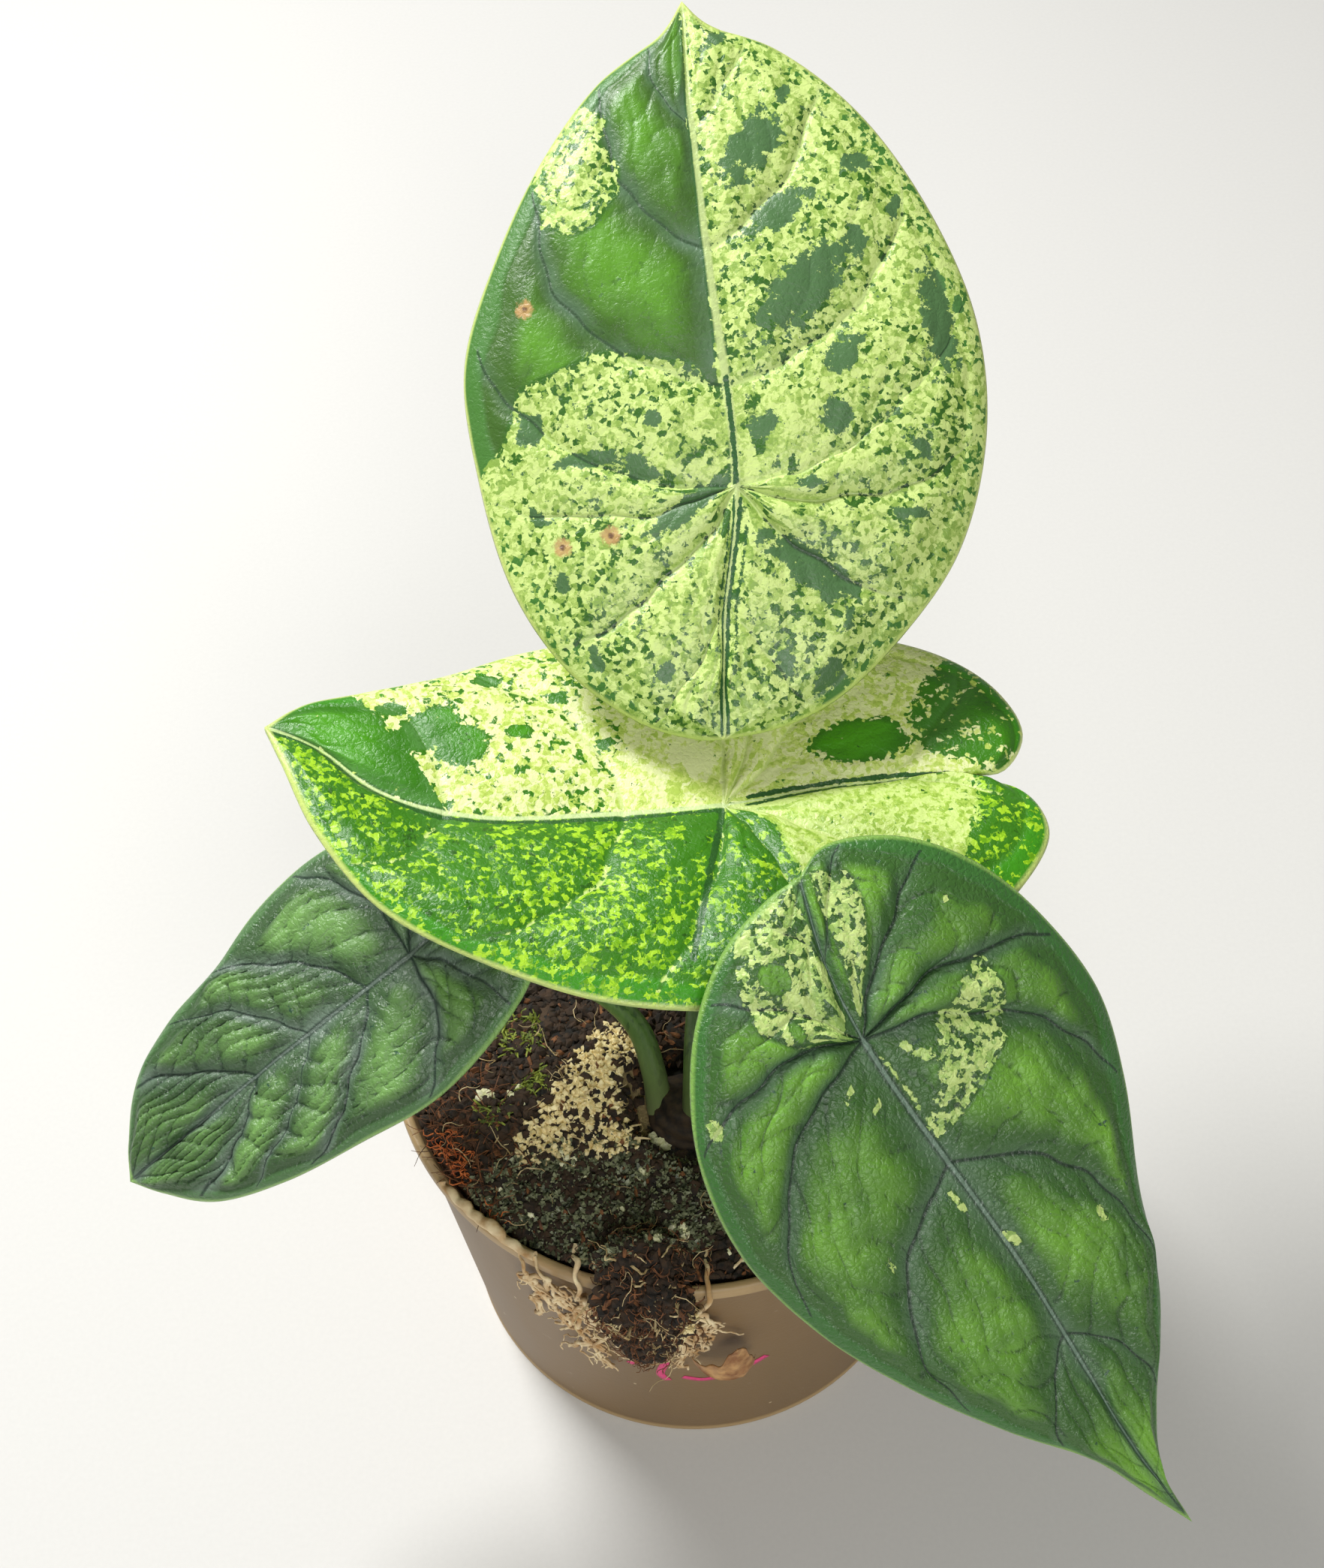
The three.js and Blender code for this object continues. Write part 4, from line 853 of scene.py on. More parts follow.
def mix_height(x, y):
    def hill(cx, cy, spread):
        return math.exp(-((x - cx) ** 2 + (y - cy) ** 2) / spread**2)

    r = math.hypot(x, y)
    z = MIX_LEVEL + 5.5 * max(0, 1 - (r / 56) ** 2) + 7 * hill(-17, -19, 10.5)
    z += 4.5 * hill(-46, -24, 17) + 5 * hill(-11, -52, 16)
    ripple = math.sin(0.41 * x + 1.3 * math.sin(0.23 * y)) * math.sin(0.37 * y + 0.9)
    z += 0.9 * ripple * min(1, max(0, (58 - r) / 8))
    rough = noise.fractal(Vector((x, y, 0)) * 0.16, 1, 2, 5)
    z += 0.8 * rough + 0.45 * noise.noise(Vector((x, y, 5)) * 1.1)
    from_crown = math.hypot(x - CROWN[0], y - CROWN[1])
    return z + (CROWN_LEVEL - z) * min(1, max(0, (CROWN_CLEAR - from_crown) / 3.5))


# Peat and coir, damp: nearly black, rough, broken by reddish fibre, pale grit and green moss.
mix_peat, tree, shader, place = new_material("damp_peat_and_coir")
crumb = noisy(tree, place, 420, 6, 0.7)
lumps = add(tree, "ShaderNodeTexVoronoi", {"Vector": place, "Scale": 650})
lump = add(tree, "ShaderNodeSeparateColor", {0: lumps.outputs["Color"]}).outputs[0]
fact = {}
for key in ("heap", "coir", "moss"):
    fact[key] = add(tree, "ShaderNodeAttribute", attribute_name=key).outputs["Fac"]
brown = ramp(tree, lump, 0.45, 0.75)
colour = blend(tree, brown, "#1c1a14", "#4a3826")
for key, over in (("coir", "#5c3a22"), ("moss", "#232d20"), ("heap", "#b39c6c")):
    patchy = maths(tree, "MULTIPLY", fact[key], crumb)
    share = ramp(tree, patchy, 0.3, 0.42, end=0.85)
    colour = blend(tree, share, colour, over)
peat_bump = relief(tree, crumb, 0.9, 0.0012)
fill(tree, shader, {"Base Color": colour, "Roughness": 0.85, "Normal": peat_bump})


def simple_material(name, first, second, scale, roughness):
    """Two tones broken up by noise with the given grains in a metre, which also roughens the skin."""
    material, tree, shader, place = new_material(name)
    grain = noisy(tree, place, scale, 4)
    tone = blend(tree, ramp(tree, grain, 0.35, 0.65), first, second)
    bump = relief(tree, grain, 0.5, 0.0003)
    fill(tree, shader, {"Base Color": tone, "Roughness": roughness, "Normal": bump})
    return material


MIX_RINGS = 84
MIX_SPOKES = 300
mix_points, mix_facts = [], {"heap": [], "coir": [], "moss": []}
for i in range(MIX_RINGS):
    for j in range(MIX_SPOKES):
        angle = 2 * math.pi * j / MIX_SPOKES
        reach = (wall_radius(86, POT_WALL) - MIX_GAP) * ((i + 0.4) / (MIX_RINGS - 0.6))
        x, y = reach * math.cos(angle), reach * math.sin(angle)
        mix_points.append((x * MM, y * MM, mix_height(x, y) * MM))
        mix_facts["heap"].append(math.exp(-(((x + 16) / 12) ** 2 + ((y + 17) / 14) ** 2) ** 2))
        mix_facts["coir"].append(math.exp(-(((x + 45) / 14) ** 2 + ((y + 26) / 22) ** 2) ** 2))
        mix_facts["moss"].append(0.95 * math.exp(-(((x + 22) / 26) ** 2 + ((y + 42) / 13) ** 2) ** 2))
foot_ring = []
for j in range(MIX_SPOKES):
    angle = 2 * math.pi * j / MIX_SPOKES
    reach = wall_radius(MIX_FOOT, POT_WALL) - MIX_GAP
    foot_ring.append((reach * math.cos(angle) * MM, reach * math.sin(angle) * MM, MIX_FOOT * MM))
mix_points += foot_ring
for values in mix_facts.values():
    values += [0] * MIX_SPOKES
mix_faces = [tuple(range(MIX_SPOKES)), tuple(reversed(range(MIX_RINGS * MIX_SPOKES, len(mix_points))))]
for i in range(MIX_RINGS):
    for j in range(MIX_SPOKES):
        k = (j + 1) % MIX_SPOKES
        a, b = i * MIX_SPOKES, (i + 1) * MIX_SPOKES
        mix_faces.append((a + j, b + j, b + k, a + k))
mix = new_piece("potting_mix_bed", mix_points, mix_faces, mix_peat)
for key, values in mix_facts.items():
    add_fact(mix.data, key, values)

# the lumps of the tongue: x, y, z and size in millimetres
TONGUE = [(-11, -55, 90.5, 7.5), (-14.5, -59.6, 87.5, 5.4), (-7.2, -60.6, 87.5, 5.6), (-14, -58.8, 80, 5),
          (-7.4, -59.6, 79, 5.2), (-12.6, -58.2, 72, 4.9), (-7.4, -58.8, 71, 4.4), (-10.6, -57.8, 65, 4.6),
          (-11, -57, 60, 3.6)]
lump_mesh = bmesh.new()
for x, y, z, size in TONGUE:
    made = bmesh.ops.create_icosphere(lump_mesh, subdivisions=5, radius=size * MM)
    for vert in made["verts"]:
        way = vert.co.normalized()
        spot = Vector((x, y, z)) + way * size
        puff = 0.93 + 0.22 * noise.fractal(spot * 0.22, 1, 2, 5) + 0.05 * noise.noise(spot * 1.3)
        squashed = Vector((way.x * 1.1, way.y * 0.72, way.z * 1.25))
        vert.co = Vector((x, y, z)) * MM + squashed * size * puff * MM
tongue = placed("coir_tongue", mesh_of("tongue", lump_mesh), mix_peat)
for key, value in (("heap", 0), ("coir", 0.6), ("moss", 0.3)):
    add_fact(tongue.data, key, [value] * len(tongue.data.vertices))
for piece in (mix, tongue):
    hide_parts("potting_mix")
    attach(piece, "root")


# Loose crumbs, grit, perlite, fibres and moss strewn over the mix: one node tree scatters a small
# template over the faces it is given, seeded, and realizes it.
def node_group(name, **inputs):
    """A tree with the given inputs, and the sockets they come from."""
    tree = bpy.data.node_groups.new(name, "GeometryNodeTree")
    for label, kind in inputs.items():
        label = label.replace("_", " ")
        tree.interface.new_socket(label, in_out="INPUT", socket_type="NodeSocket" + kind)
    tree.interface.new_socket("Made", in_out="OUTPUT", socket_type="NodeSocketGeometry")
    return tree, add(tree, "NodeGroupInput").outputs


def close_group(tree, shape, material):
    """Hands out the shape, made real and in its material."""
    real = add(tree, "GeometryNodeRealizeInstances", {0: shape}).outputs[0]
    dressed = add(tree, "GeometryNodeSetMaterial", {"Geometry": real, "Material": material})
    add(tree, "NodeGroupOutput", {0: dressed.outputs[0]})
    return tree


def strewing_tree():
    tree, given = node_group(
        "strewn",
        Surface="Geometry",
        Template="Object",
        Per_square_metre="Float",
        Smallest="Float",
        Largest="Float",
        Tumble="Float",
        Seed="Int",
        Material="Material",
    )
    scatter = add(
        tree,
        "GeometryNodeDistributePointsOnFaces",
        {"Mesh": given["Surface"], "Density": given["Per square metre"], "Seed": given["Seed"]},
    )
    template = add(tree, "GeometryNodeObjectInfo", {"Object": given["Template"]}).outputs["Geometry"]
    size = add(tree, "FunctionNodeRandomValue", data_type="FLOAT")
    for key, label in ((2, "Smallest"), (3, "Largest"), (8, "Seed")):
        tree.links.new(given[label], size.inputs[key])
    tumble = add(tree, "ShaderNodeVectorMath", {0: (6.3, 6.3, 0)}, operation="SCALE")
    tree.links.new(given["Tumble"], tumble.inputs["Scale"])
    most = add(tree, "ShaderNodeVectorMath", {0: tumble.outputs[0], 1: (0, 0, 6.3)}, operation="ADD")
    spin = add(tree, "FunctionNodeRandomValue", data_type="FLOAT_VECTOR")
    tree.links.new(most.outputs[0], spin.inputs[1])
    tree.links.new(given["Seed"], spin.inputs[8])
    turn = add(
        tree,
        "FunctionNodeRotateRotation",
        {0: scatter.outputs["Rotation"], 1: spin.outputs[0]},
        rotation_space="LOCAL",
    )
    copies = add(
        tree,
        "GeometryNodeInstanceOnPoints",
        {"Points": scatter.outputs["Points"], "Instance": template, "Rotation": turn.outputs[0]},
    )
    tree.links.new(size.outputs[1], copies.inputs["Scale"])
    return close_group(tree, copies.outputs[0], given["Material"])


def run_tree(piece, tree, values):
    """Puts the tree on the piece with its named inputs set, and keeps the plain mesh it makes."""
    modifier = piece.modifiers.new(tree.name, "NODES")
    modifier.node_group = tree
    for item in tree.interface.items_tree:
        if item.name in values:
            modifier[item.identifier] = values[item.name]
    bake_modifiers(piece)


STREWING = strewing_tree()


def part_of_surface(pieces, wanted):
    """The points and faces of the pieces whose centre wanted(x, y, z) keeps, in millimetres."""
    points, faces = [], []
    for piece in pieces:
        for face in piece.data.polygons:
            centre = face.center / MM
            seen = face.normal.z > 0.3 or (piece is tongue and face.normal.y < 0.3)
            if len(face.vertices) < 5 and seen and wanted(centre.x, centre.y, centre.z):
                start = len(points)
                points += [piece.data.vertices[v].co for v in face.vertices]
                faces.append(tuple(range(start, len(points))))
    return points, faces


def chip(name, stretch, seed):
    """A broken crumb 1 mm across before it is stretched."""
    draw = random.Random(seed)
    shape = bmesh.new()
    bmesh.ops.create_icosphere(shape, subdivisions=1, radius=0.5 * MM)
    for vert in shape.verts:
        vert.co *= draw.uniform(0.7, 1.25)
        vert.co = Vector(a * b for a, b in zip(vert.co, stretch))
    return bpy.data.objects.new(name, mesh_of(name, shape))


def curl(name, length, radius, bend, seed, steps=8):
    """A curled fibre of three sides that starts at the origin and leaves along +Z."""
    draw = random.Random(seed)
    spot, way = Vector((0, 0, -0.2 * MM)), Vector((0.4, 0, 1)).normalized()
    points, faces = [], []
    for i in range(steps + 1):
        side = way.orthogonal().normalized()
        other = way.cross(side)
        thick = radius * MM * (1 - 0.6 * i / steps)
        for k in range(3):
            a = 2 * math.pi * k / 3
            points.append(spot + thick * (math.cos(a) * side + math.sin(a) * other))
        spot = spot + way * length * MM / steps
        swerve = Vector(draw.uniform(-1, 1) for _ in range(3))
        way = (way + bend * swerve + Vector((0, 0, -0.12 * bend))).normalized()
    for i in range(steps):
        for k in range(3):
            a, b = 3 * i + k, 3 * i + (k + 1) % 3
            faces.append((a, b, b + 3, a + 3))
    faces += [(2, 1, 0), (3 * steps, 3 * steps + 1, 3 * steps + 2)]
    mesh = bpy.data.meshes.new(name)
    mesh.from_pydata(points, [], faces)
    return bpy.data.objects.new(name, mesh)


# Where each kind is strewn: on the mix, or on its tongue, at a point in millimetres.
def in_heap(x, y, z):
    spread = 3 + 0.5 * (-2 - y)
    across = abs(x + 15 - 0.2 * (y + 16))
    clear = math.hypot(x - CROWN[0], y - CROWN[1]) > CROWN_CLEAR
    return clear and -31 < y < -2 and across < spread + 2 * math.sin(x + y)


def in_moss(x, y, z):
    return math.hypot((x + 20) / 28, (y + 42) / 14) < 1


def in_coir(x, y, z):
    return math.hypot((x + 47) / 11, (y + 27) / 17) < 1


def on_tongue(x, y, z):
    return y < -50 and abs(x + 11) < 14


def on_tongue_sides(x, y, z):
    return y < -52 and 5 < abs(x + 11) and 60 < z < 86


def in_crown(x, y, z):
    return math.hypot(x - CROWN[0], y - CROWN[1]) < 11


# Root grit: chalky cream crumbs with straw tones 1 mm apart, the palest thing in the mix.
GRIT = simple_material("pale_root_grit", "#fff0bc", "#d2bb7c", 900, 0.8)
# Peat: nearly black and matt, with brown fibre showing every 2 mm.
PEAT_CRUMB = simple_material("peat_crumb", "#1b1711", "#3f2d1c", 500, 0.9)
# Bark: red-brown chips with a darker grain 1.4 mm apart, matt.
BARK = simple_material("bark_chip", "#8a5a33", "#4a2c18", 700, 0.8)
# Coir: dull brown coconut fibre, darker where it is damp.
COIR = simple_material("coir_fibre", "#84522c", "#3f2816", 300, 0.75)
# Dead root: straw-coloured fibre, dull, stained ochre in places 3 mm apart.
ROOT_HAIR = simple_material("dead_root_fibre", "#dcc898", "#9c8352", 300, 0.8)
# Black moss: grey-green and nearly black leaflets with a faint wet shine.
MOSS = simple_material("black_moss_leaf", "#969a76", "#3b412f", 500, 0.5)
# Yellow moss: fresh olive leaflets, soft and matt.
TUFT = simple_material("yellow_moss_leaf", "#8f9a34", "#4c5c1a", 500, 0.7)
# Perlite: white expanded glass, chalky, yellowed in pores under a millimetre wide.
PERLITE = simple_material("perlite", "#f2eecb", "#cfcf9a", 1200, 0.8)
# Rusty fibre: coir stained orange, dull.
RUST = simple_material("rusty_fibre", "#d9793c", "#a04e22", 400, 0.75)
# spots of yellow moss, perlite and rusty fibre: x, y and radius in millimetres
SPROUTS = [(-33, -2, 5), (-30, -14, 3), (-39, -21, 3)]
FLECKS = [(-4, -49, 1.8), (-8, -53, 1.5), (-33, -40, 1.8), (-39, -37, 1.5), (-34, -17, 2), (-5, -26, 2.5)]
FLECKS += [(-10, -36, 1.5), (8, -51, 2.5), (-24, -31, 2), (-40, -17, 2), (-20, -36, 1.2), (-14, -44, 1.2)]
RUSTY = [(-50, -31, 7), (-41, -43, 4)]


def near_any(spots):
    return lambda x, y, z: any(math.hypot(x - a, y - b) < r for a, b, r in spots)


def anywhere(x, y, z):
    return not in_crown(x, y, z)


# name, where, template, how many in a square metre, smallest, largest, tumble, seed, material
STREWN = [
    ("grit", in_heap, chip("grit", (2.8, 1.3, 1.2), 1), 2.6e6, 0.5, 1.45, 1, 11, GRIT),
    ("fine_grit", in_heap, chip("fine", (1.4, 1.0, 0.9), 21), 5e6, 0.5, 1.2, 1, 22, GRIT),
    ("heap_fibre", in_heap, curl("f1", 4, 0.3, 0.9, 2), 2.5e5, 0.5, 1.3, 0.12, 12, ROOT_HAIR),
    ("bark", anywhere, chip("bark", (2.6, 1.6, 0.9), 3), 1.1e5, 0.5, 1.5, 1, 13, BARK),
    ("crumb", anywhere, chip("crumb", (1.7, 1.5, 1.2), 5), 6.6e5, 0.5, 1.9, 1, 15, PEAT_CRUMB),
    ("coir_curl", in_coir, curl("f2", 8, 0.16, 0.6, 6), 4e5, 0.5, 1.2, 0.15, 16, COIR),
    ("tongue_curl", on_tongue, curl("f6", 6, 0.15, 0.8, 16), 2e5, 0.5, 1.3, 0.12, 26, COIR),
    ("tongue_root", on_tongue, curl("f7", 7, 0.28, 0.8, 17), 5e4, 0.5, 1.3, 0.12, 27, ROOT_HAIR),
    ("tongue_grit", on_tongue_sides, chip("pale", (1.9, 1.1, 1.0), 31), 1.2e6, 0.5, 1.5, 1, 29, GRIT),
    ("rusty_curl", near_any(RUSTY), curl("f8", 5, 0.22, 0.9, 18), 1.2e6, 0.5, 1.2, 0.15, 28, RUST),
    ("root_curl", anywhere, curl("f3", 9, 0.13, 0.45, 7), 2e4, 0.5, 1.4, 0.22, 17, ROOT_HAIR),
    ("moss_sprig", in_moss, curl("f4", 1.6, 0.55, 0.5, 8, 3), 4.2e6, 0.5, 1.3, 0.14, 18, MOSS),
    ("tuft", near_any(SPROUTS), curl("f5", 2.6, 0.35, 0.7, 9, 3), 3e6, 0.5, 1.3, 0.14, 19, TUFT),
    ("perlite", near_any(FLECKS), chip("perlite", (2.2, 1.8, 1.6), 10), 8e5, 0.5, 1.4, 1, 20, PERLITE),
]
for name, wanted, template, density, small, large, tumble, seed, material in STREWN:
    points, faces = part_of_surface((mix, tongue), wanted)
    piece = new_piece("strewn_" + name, points, faces, material)
    values = {"Template": template, "Per square metre": float(density), "Seed": seed, "Material": material}
    values |= {"Smallest": small, "Largest": large, "Tumble": float(tumble)}
    run_tree(piece, STREWING, values)
    bpy.data.objects.remove(template)
    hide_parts("potting_mix")
    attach(piece, "root")

# Stems and roots: round petioles that widen into the crown, and thin roots that hang over the lip.
# One node tree sweeps a disc along a piece's edges, with the radius that its "thick" attribute says.


def sweeping_tree():
    tree, given = node_group("swept", Line="Geometry", Sides="Int", Material="Material")
    curve = add(tree, "GeometryNodeMeshToCurve", {0: given["Line"]})
    radius = add(tree, "GeometryNodeInputNamedAttribute", data_type="FLOAT")
    radius.inputs["Name"].default_value = "thick"
    disc = add(tree, "GeometryNodeCurvePrimitiveCircle", {"Resolution": given["Sides"], "Radius": 1.0})
    swept = add(
        tree,
        "GeometryNodeCurveToMesh",
        {"Curve": curve.outputs[0], "Profile Curve": disc.outputs[0], "Fill Caps": True},
    )
    tree.links.new(radius.outputs[0], swept.inputs["Scale"])
    smooth = add(tree, "GeometryNodeSetShadeSmooth", {0: swept.outputs[0]})
    return close_group(tree, smooth.outputs[0], given["Material"])


SWEEPING = sweeping_tree()


def swept(name, lines, sides, material):
    """A piece of round strands; each line is a list of (x, y, z, radius) in millimetres."""
    points, edges, radii = [], [], []
    for line in lines:
        start = len(points)
        points += [(x * MM, y * MM, z * MM) for x, y, z, _ in line]
        radii += [r * MM for *_, r in line]
        edges += [(i, i + 1) for i in range(start, len(points) - 1)]
    piece = new_piece(name, points, [], material, edges)
    add_fact(piece.data, "thick", radii)
    run_tree(piece, SWEEPING, {"Sides": sides, "Material": material})
    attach(piece, "root")
    return piece


PETIOLE_FOOT_RADIUS = 2.6
PETIOLE_TOP_RADIUS = 1.7
PETIOLES = {
    "back": [(3.1, -15.6, 88), (3.6, -14, 100), (5, 3, 118), (9, 37, 140), (12.6, 56.5, 163),
             (15.2, 57, 183)],
    "middle": [(1, -23.4, 88), (1.4, -22.6, 100), (2.4, -18, 116), (5.5, -6, 136), (9.2, 1.2, 150)],
    "left": [(-5.8, -19.6, 88), (-6.4, -17.5, 99), (-9, -13.5, 110), (-16, -11.5, 121), (-31, -10.5, 131),
             (-44.5, -12.5, 133.5)],
    "right": [(6.8, -21.4, 88), (7.4, -22.4, 100), (11, -27.5, 116), (18.5, -35, 133), (26.2, -43, 147)],
}
# Petiole skin: smooth and satin, pale at the foot, with fine lengthwise streaks and green flecks.
petiole_skin, tree, shader, place = new_material("petiole_skin")
streak_place = add(tree, "ShaderNodeMapping", {"Vector": place, "Scale": (1, 1, 0.12)}).outputs[0]
streaks = noisy(tree, streak_place, 1500, 3)
flecks = noisy(tree, streak_place, 600, 3)
height = add(tree, "ShaderNodeSeparateXYZ", {0: place}).outputs["Z"]
foot = ramp(tree, height, 0.088, 0.11, 1, 0)
is_fleck = ramp(tree, flecks, 0.55, 0.6, end=0.7)
colour = blend(tree, streaks, "#3f5f2a", "#64853f")
for share, over in ((is_fleck, "#2c4a20"), (foot, "#7c8a58")):
    colour = blend(tree, share, colour, over)
stem_bump = relief(tree, streaks, 0.3, 0.0003)
fill(tree, shader, {"Base Color": colour, "Roughness": 0.38, "Normal": stem_bump})
for name, path in PETIOLES.items():
    ends = [tuple(bent(LEAVES[name], 0, 0, h) / MM) for h in (-6.9, -1.6)]
    line = smooth_curve(path + ends, 12)
    share = np.linspace(0, 1, len(line))
    taper = (PETIOLE_TOP_RADIUS - PETIOLE_FOOT_RADIUS) * np.minimum(1, share * 1.2)
    strand = np.column_stack([line, PETIOLE_FOOT_RADIUS + taper]).tolist()
    stem = swept("petiole_" + name + "_stem", [strand], 20, petiole_skin)
    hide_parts("petiole_" + name)

# The corm: a ringed brown rootstock, the thick short stem of the plant. It sits in the mix and the
# petioles grow from it.

# Corm bark: dark brown, cracked and matt, with paler ridges 2 mm apart.
corm_skin = simple_material("corm_bark", "#41321f", "#1e1710", 500, 0.8)
CORM_CENTRE = (0.5, -20.5, 84)
CORM_RADII = (9.5, 9, 13)
shape = bmesh.new()
bmesh.ops.create_icosphere(shape, subdivisions=5, radius=1)
for vert in shape.verts:
    way = vert.co.normalized()
    rings = 0.03 * math.sin(26 * way.z + 1.5 * way.x)
    puff = 0.95 + rings + 0.05 * noise.fractal(way * 3, 1, 2, 4)
    vert.co = Vector((c + r * w * puff) * MM for c, r, w in zip(CORM_CENTRE, CORM_RADII, way))
corm = placed("corm_body", mesh_of("corm_body", shape), corm_skin)
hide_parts("corm")
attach(corm, "root")

# Roots over the lip: three bundles of pale, brittle roots that cross the lip and cling to the wall,
# each with finer side roots that wander down from its strands.

ROOTS = {
    "rim_left": [
        (1.3, (-48.5, -33.5, 90.2), (-45.5, -38, 90.2), (-41.4, -42.7, 90.5), (-36.5, -47, 90.6),
         (-31, -51, 90.7)),
        (1, (-33.5, -49.5, 90.7), (-33.5, -52.2, 88.5), (-32.8, -50.6, 80), (-32.4, -48.8, 70),
         (-33.8, -45.6, 62)),
        (1, (-31, -51, 90.7), (-29.6, -54.4, 88.6), (-28.4, -53.3, 78), (-29, -51, 68),
         (-26.6, -50.4, 57)),
    ],
    "front_left": [
        (1.3, (-23.6, -49, 90), (-23.4, -55, 90.8), (-22.9, -57.6, 88), (-22.3, -55.2, 77),
         (-21.4, -54.6, 66)),
        (1, (-22.3, -55.2, 77), (-25.4, -53, 69), (-24.9, -52.2, 59), (-22.4, -51.6, 48), (-19, -51.8, 39)),
        (1, (-22.3, -55.2, 77), (-18.6, -55.6, 69), (-19.2, -54.6, 60), (-22.6, -52.8, 52)),
    ],
    "front": [
        (1.3, (2.2, -50, 89.8), (1.4, -57, 91.2), (1, -61.7, 88.8), (-0.4, -59.4, 79), (-1.6, -58, 70)),
        (1, (-0.6, -59.4, 79), (2, -58.8, 72), (1, -57.7, 65)),
        (1, (-0.6, -59.4, 79), (-3.4, -58.4, 69), (-4.4, -57.4, 59), (-4.6, -56.2, 47)),
    ],
}
# how many thin roots leave each bundle
SIDE_ROOTS = {"rim_left": 26, "front_left": 34, "front": 34}
# a thin root that runs over the mix from the crown to the front bundle, seen from above
LONG_HAIR = [(1.5, -31), (3, -38), (5.4, -44), (7.6, -49), (8.4, -53), (6.5, -55)]
# Dry root: chalky tan skin, rough, with darker stained stretches.
root_skin = simple_material("dry_root_skin", "#f2dfb4", "#b8905c", 260, 0.75)


def side_root(draw, start, low):
    """A thin root that wanders down the wall from its start, never nearer than its own radius."""
    x, y, z = start
    angle, reach = math.atan2(y, x), math.hypot(x, y)
    slant, radius = draw.uniform(-0.5, 0.5), draw.choice((0.18, 0.24, 0.34, 0.55))
    line = [(x, y, z, radius)]
    for i in range(draw.randrange(7, 16)):
        # it keeps a little of its slant, and never lies flatter than 49 degrees from straight down
        slant = max(-0.85, min(0.85, 0.6 * slant + draw.uniform(-1, 1)))
        step = draw.uniform(0.8, 1.5)
        z -= step * math.cos(slant)
        angle += step * math.sin(slant) / 56
        off = 0.5 + 1.4 * abs(math.sin(2.1 * z + 7 * slant))
        reach += 0.45 * (wall_radius(min(z, 85)) + off - reach) if z < 84 else 0.2
        if z < low:
            break
        radius *= 0.95
        line.append((reach * math.cos(angle), reach * math.sin(angle), z, radius))
    return line


for name, strands in ROOTS.items():
    draw = random.Random("roots " + name)
    lines = []
    for radius, *path in strands:
        line = smooth_curve(path, 10)
        # it winds a millimetre or so to the side and up, and swells with it
        wave = [1.3 * noise.noise(Vector(p) * 0.33) for p in line]
        # the root that lies on the rim shows its whole thickness, those on the wall taper from it
        share = 0.8 if path[-1][2] > 85 else 0.36
        thick = [radius * share * (1 + 0.5 * w) for w in wave]
        lines.append([(x + w, y, z + w, r) for (x, y, z), w, r in zip(line, wave, thick)])
    if name == "front":
        lines.append([(x, y, mix_height(x, y) + 0.7, 0.3) for x, y in smooth_curve(LONG_HAIR, 10)])
    low = min(p[2] for strand in strands for p in strand[1:]) - 1.5
    trunks = [p for line in lines for p in line if p[2] < 88.5]
    for i in range(SIDE_ROOTS[name]):
        x, y, z, _ = draw.choice(trunks)
        root = side_root(draw, (x, y, z), low)
        if len(root) > 2:
            lines.append(root)
    roots = swept("roots_" + name + "_tangle", lines, 8, root_skin)
    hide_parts("roots_" + name)

# The dry scrap: a curled flake of old leaf sheath, papery and brittle, stuck to the front wall just
# beside the hanging roots. It is a thin sheet, bowed away from the wall and crumpled.

# seen from the front: x and z in millimetres
SCRAP_OUTLINE = [(-2.6, 53.5), (0.5, 57.5), (3, 59), (6.6, 65.5), (8.4, 62), (10.4, 52.5), (7, 51)]
SCRAP_OUTLINE += [(2, 52.2)]
# Dry sheath: papery, tan with brown stains 3 mm apart, with a little shine.
dry_sheath = simple_material("dry_papery_sheath", "#c79a63", "#8a5a33", 350, 0.6)
scrap_points, scrap_faces = [], []
SCRAP_GRID = 44
SCRAP_LOW, SCRAP_TALL = 51, 14.5
SCRAP_BEHIND = -56.7  # its back edge, on the wall
for layer in (0, 1):
    for i in range(SCRAP_GRID):
        z = SCRAP_LOW + SCRAP_TALL * (i + 0.02) / (SCRAP_GRID - 0.96)
        crossings = []
        for (ax, az), (bx, bz) in zip(SCRAP_OUTLINE, SCRAP_OUTLINE[1:] + SCRAP_OUTLINE[:1]):
            if (az > z) != (bz > z):
                crossings.append(ax + (z - az) * (bx - ax) / (bz - az))
        for j in range(SCRAP_GRID):
            x = min(crossings) + (max(crossings) - min(crossings)) * j / (SCRAP_GRID - 1)
            bulge = 0.75 * math.sqrt(max(0, 6.4**2 - (x - 3.9) ** 2))
            crumple = 0.8 * noise.noise(Vector((x * 0.45, z * 0.25, 1)))
            crumple += 0.15 * noise.noise(Vector((x, z, 3)) * 1.4)
            scrap_points.append((x * MM, (SCRAP_BEHIND - bulge + crumple - 0.35 * layer) * MM, z * MM))
n, layer_size = SCRAP_GRID, SCRAP_GRID**2
for i in range(n - 1):
    for j in range(n - 1):
        a, b, c, d = i * n + j, i * n + j + 1, (i + 1) * n + j + 1, (i + 1) * n + j
        under = [corner + layer_size for corner in (a, b, c, d)]
        scrap_faces += [(d, c, b, a), tuple(under)]
border = list(range(n)) + [i * n + n - 1 for i in range(1, n)]
border += [(n - 1) * n + j for j in reversed(range(n - 1))]
border += [i * n for i in reversed(range(1, n - 1))]
for a, b in zip(border, border[1:] + border[:1]):
    scrap_faces.append((a, b, b + layer_size, a + layer_size))
scrap = new_piece("curled_scrap", scrap_points, scrap_faces, dry_sheath)
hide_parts("dry_scrap")
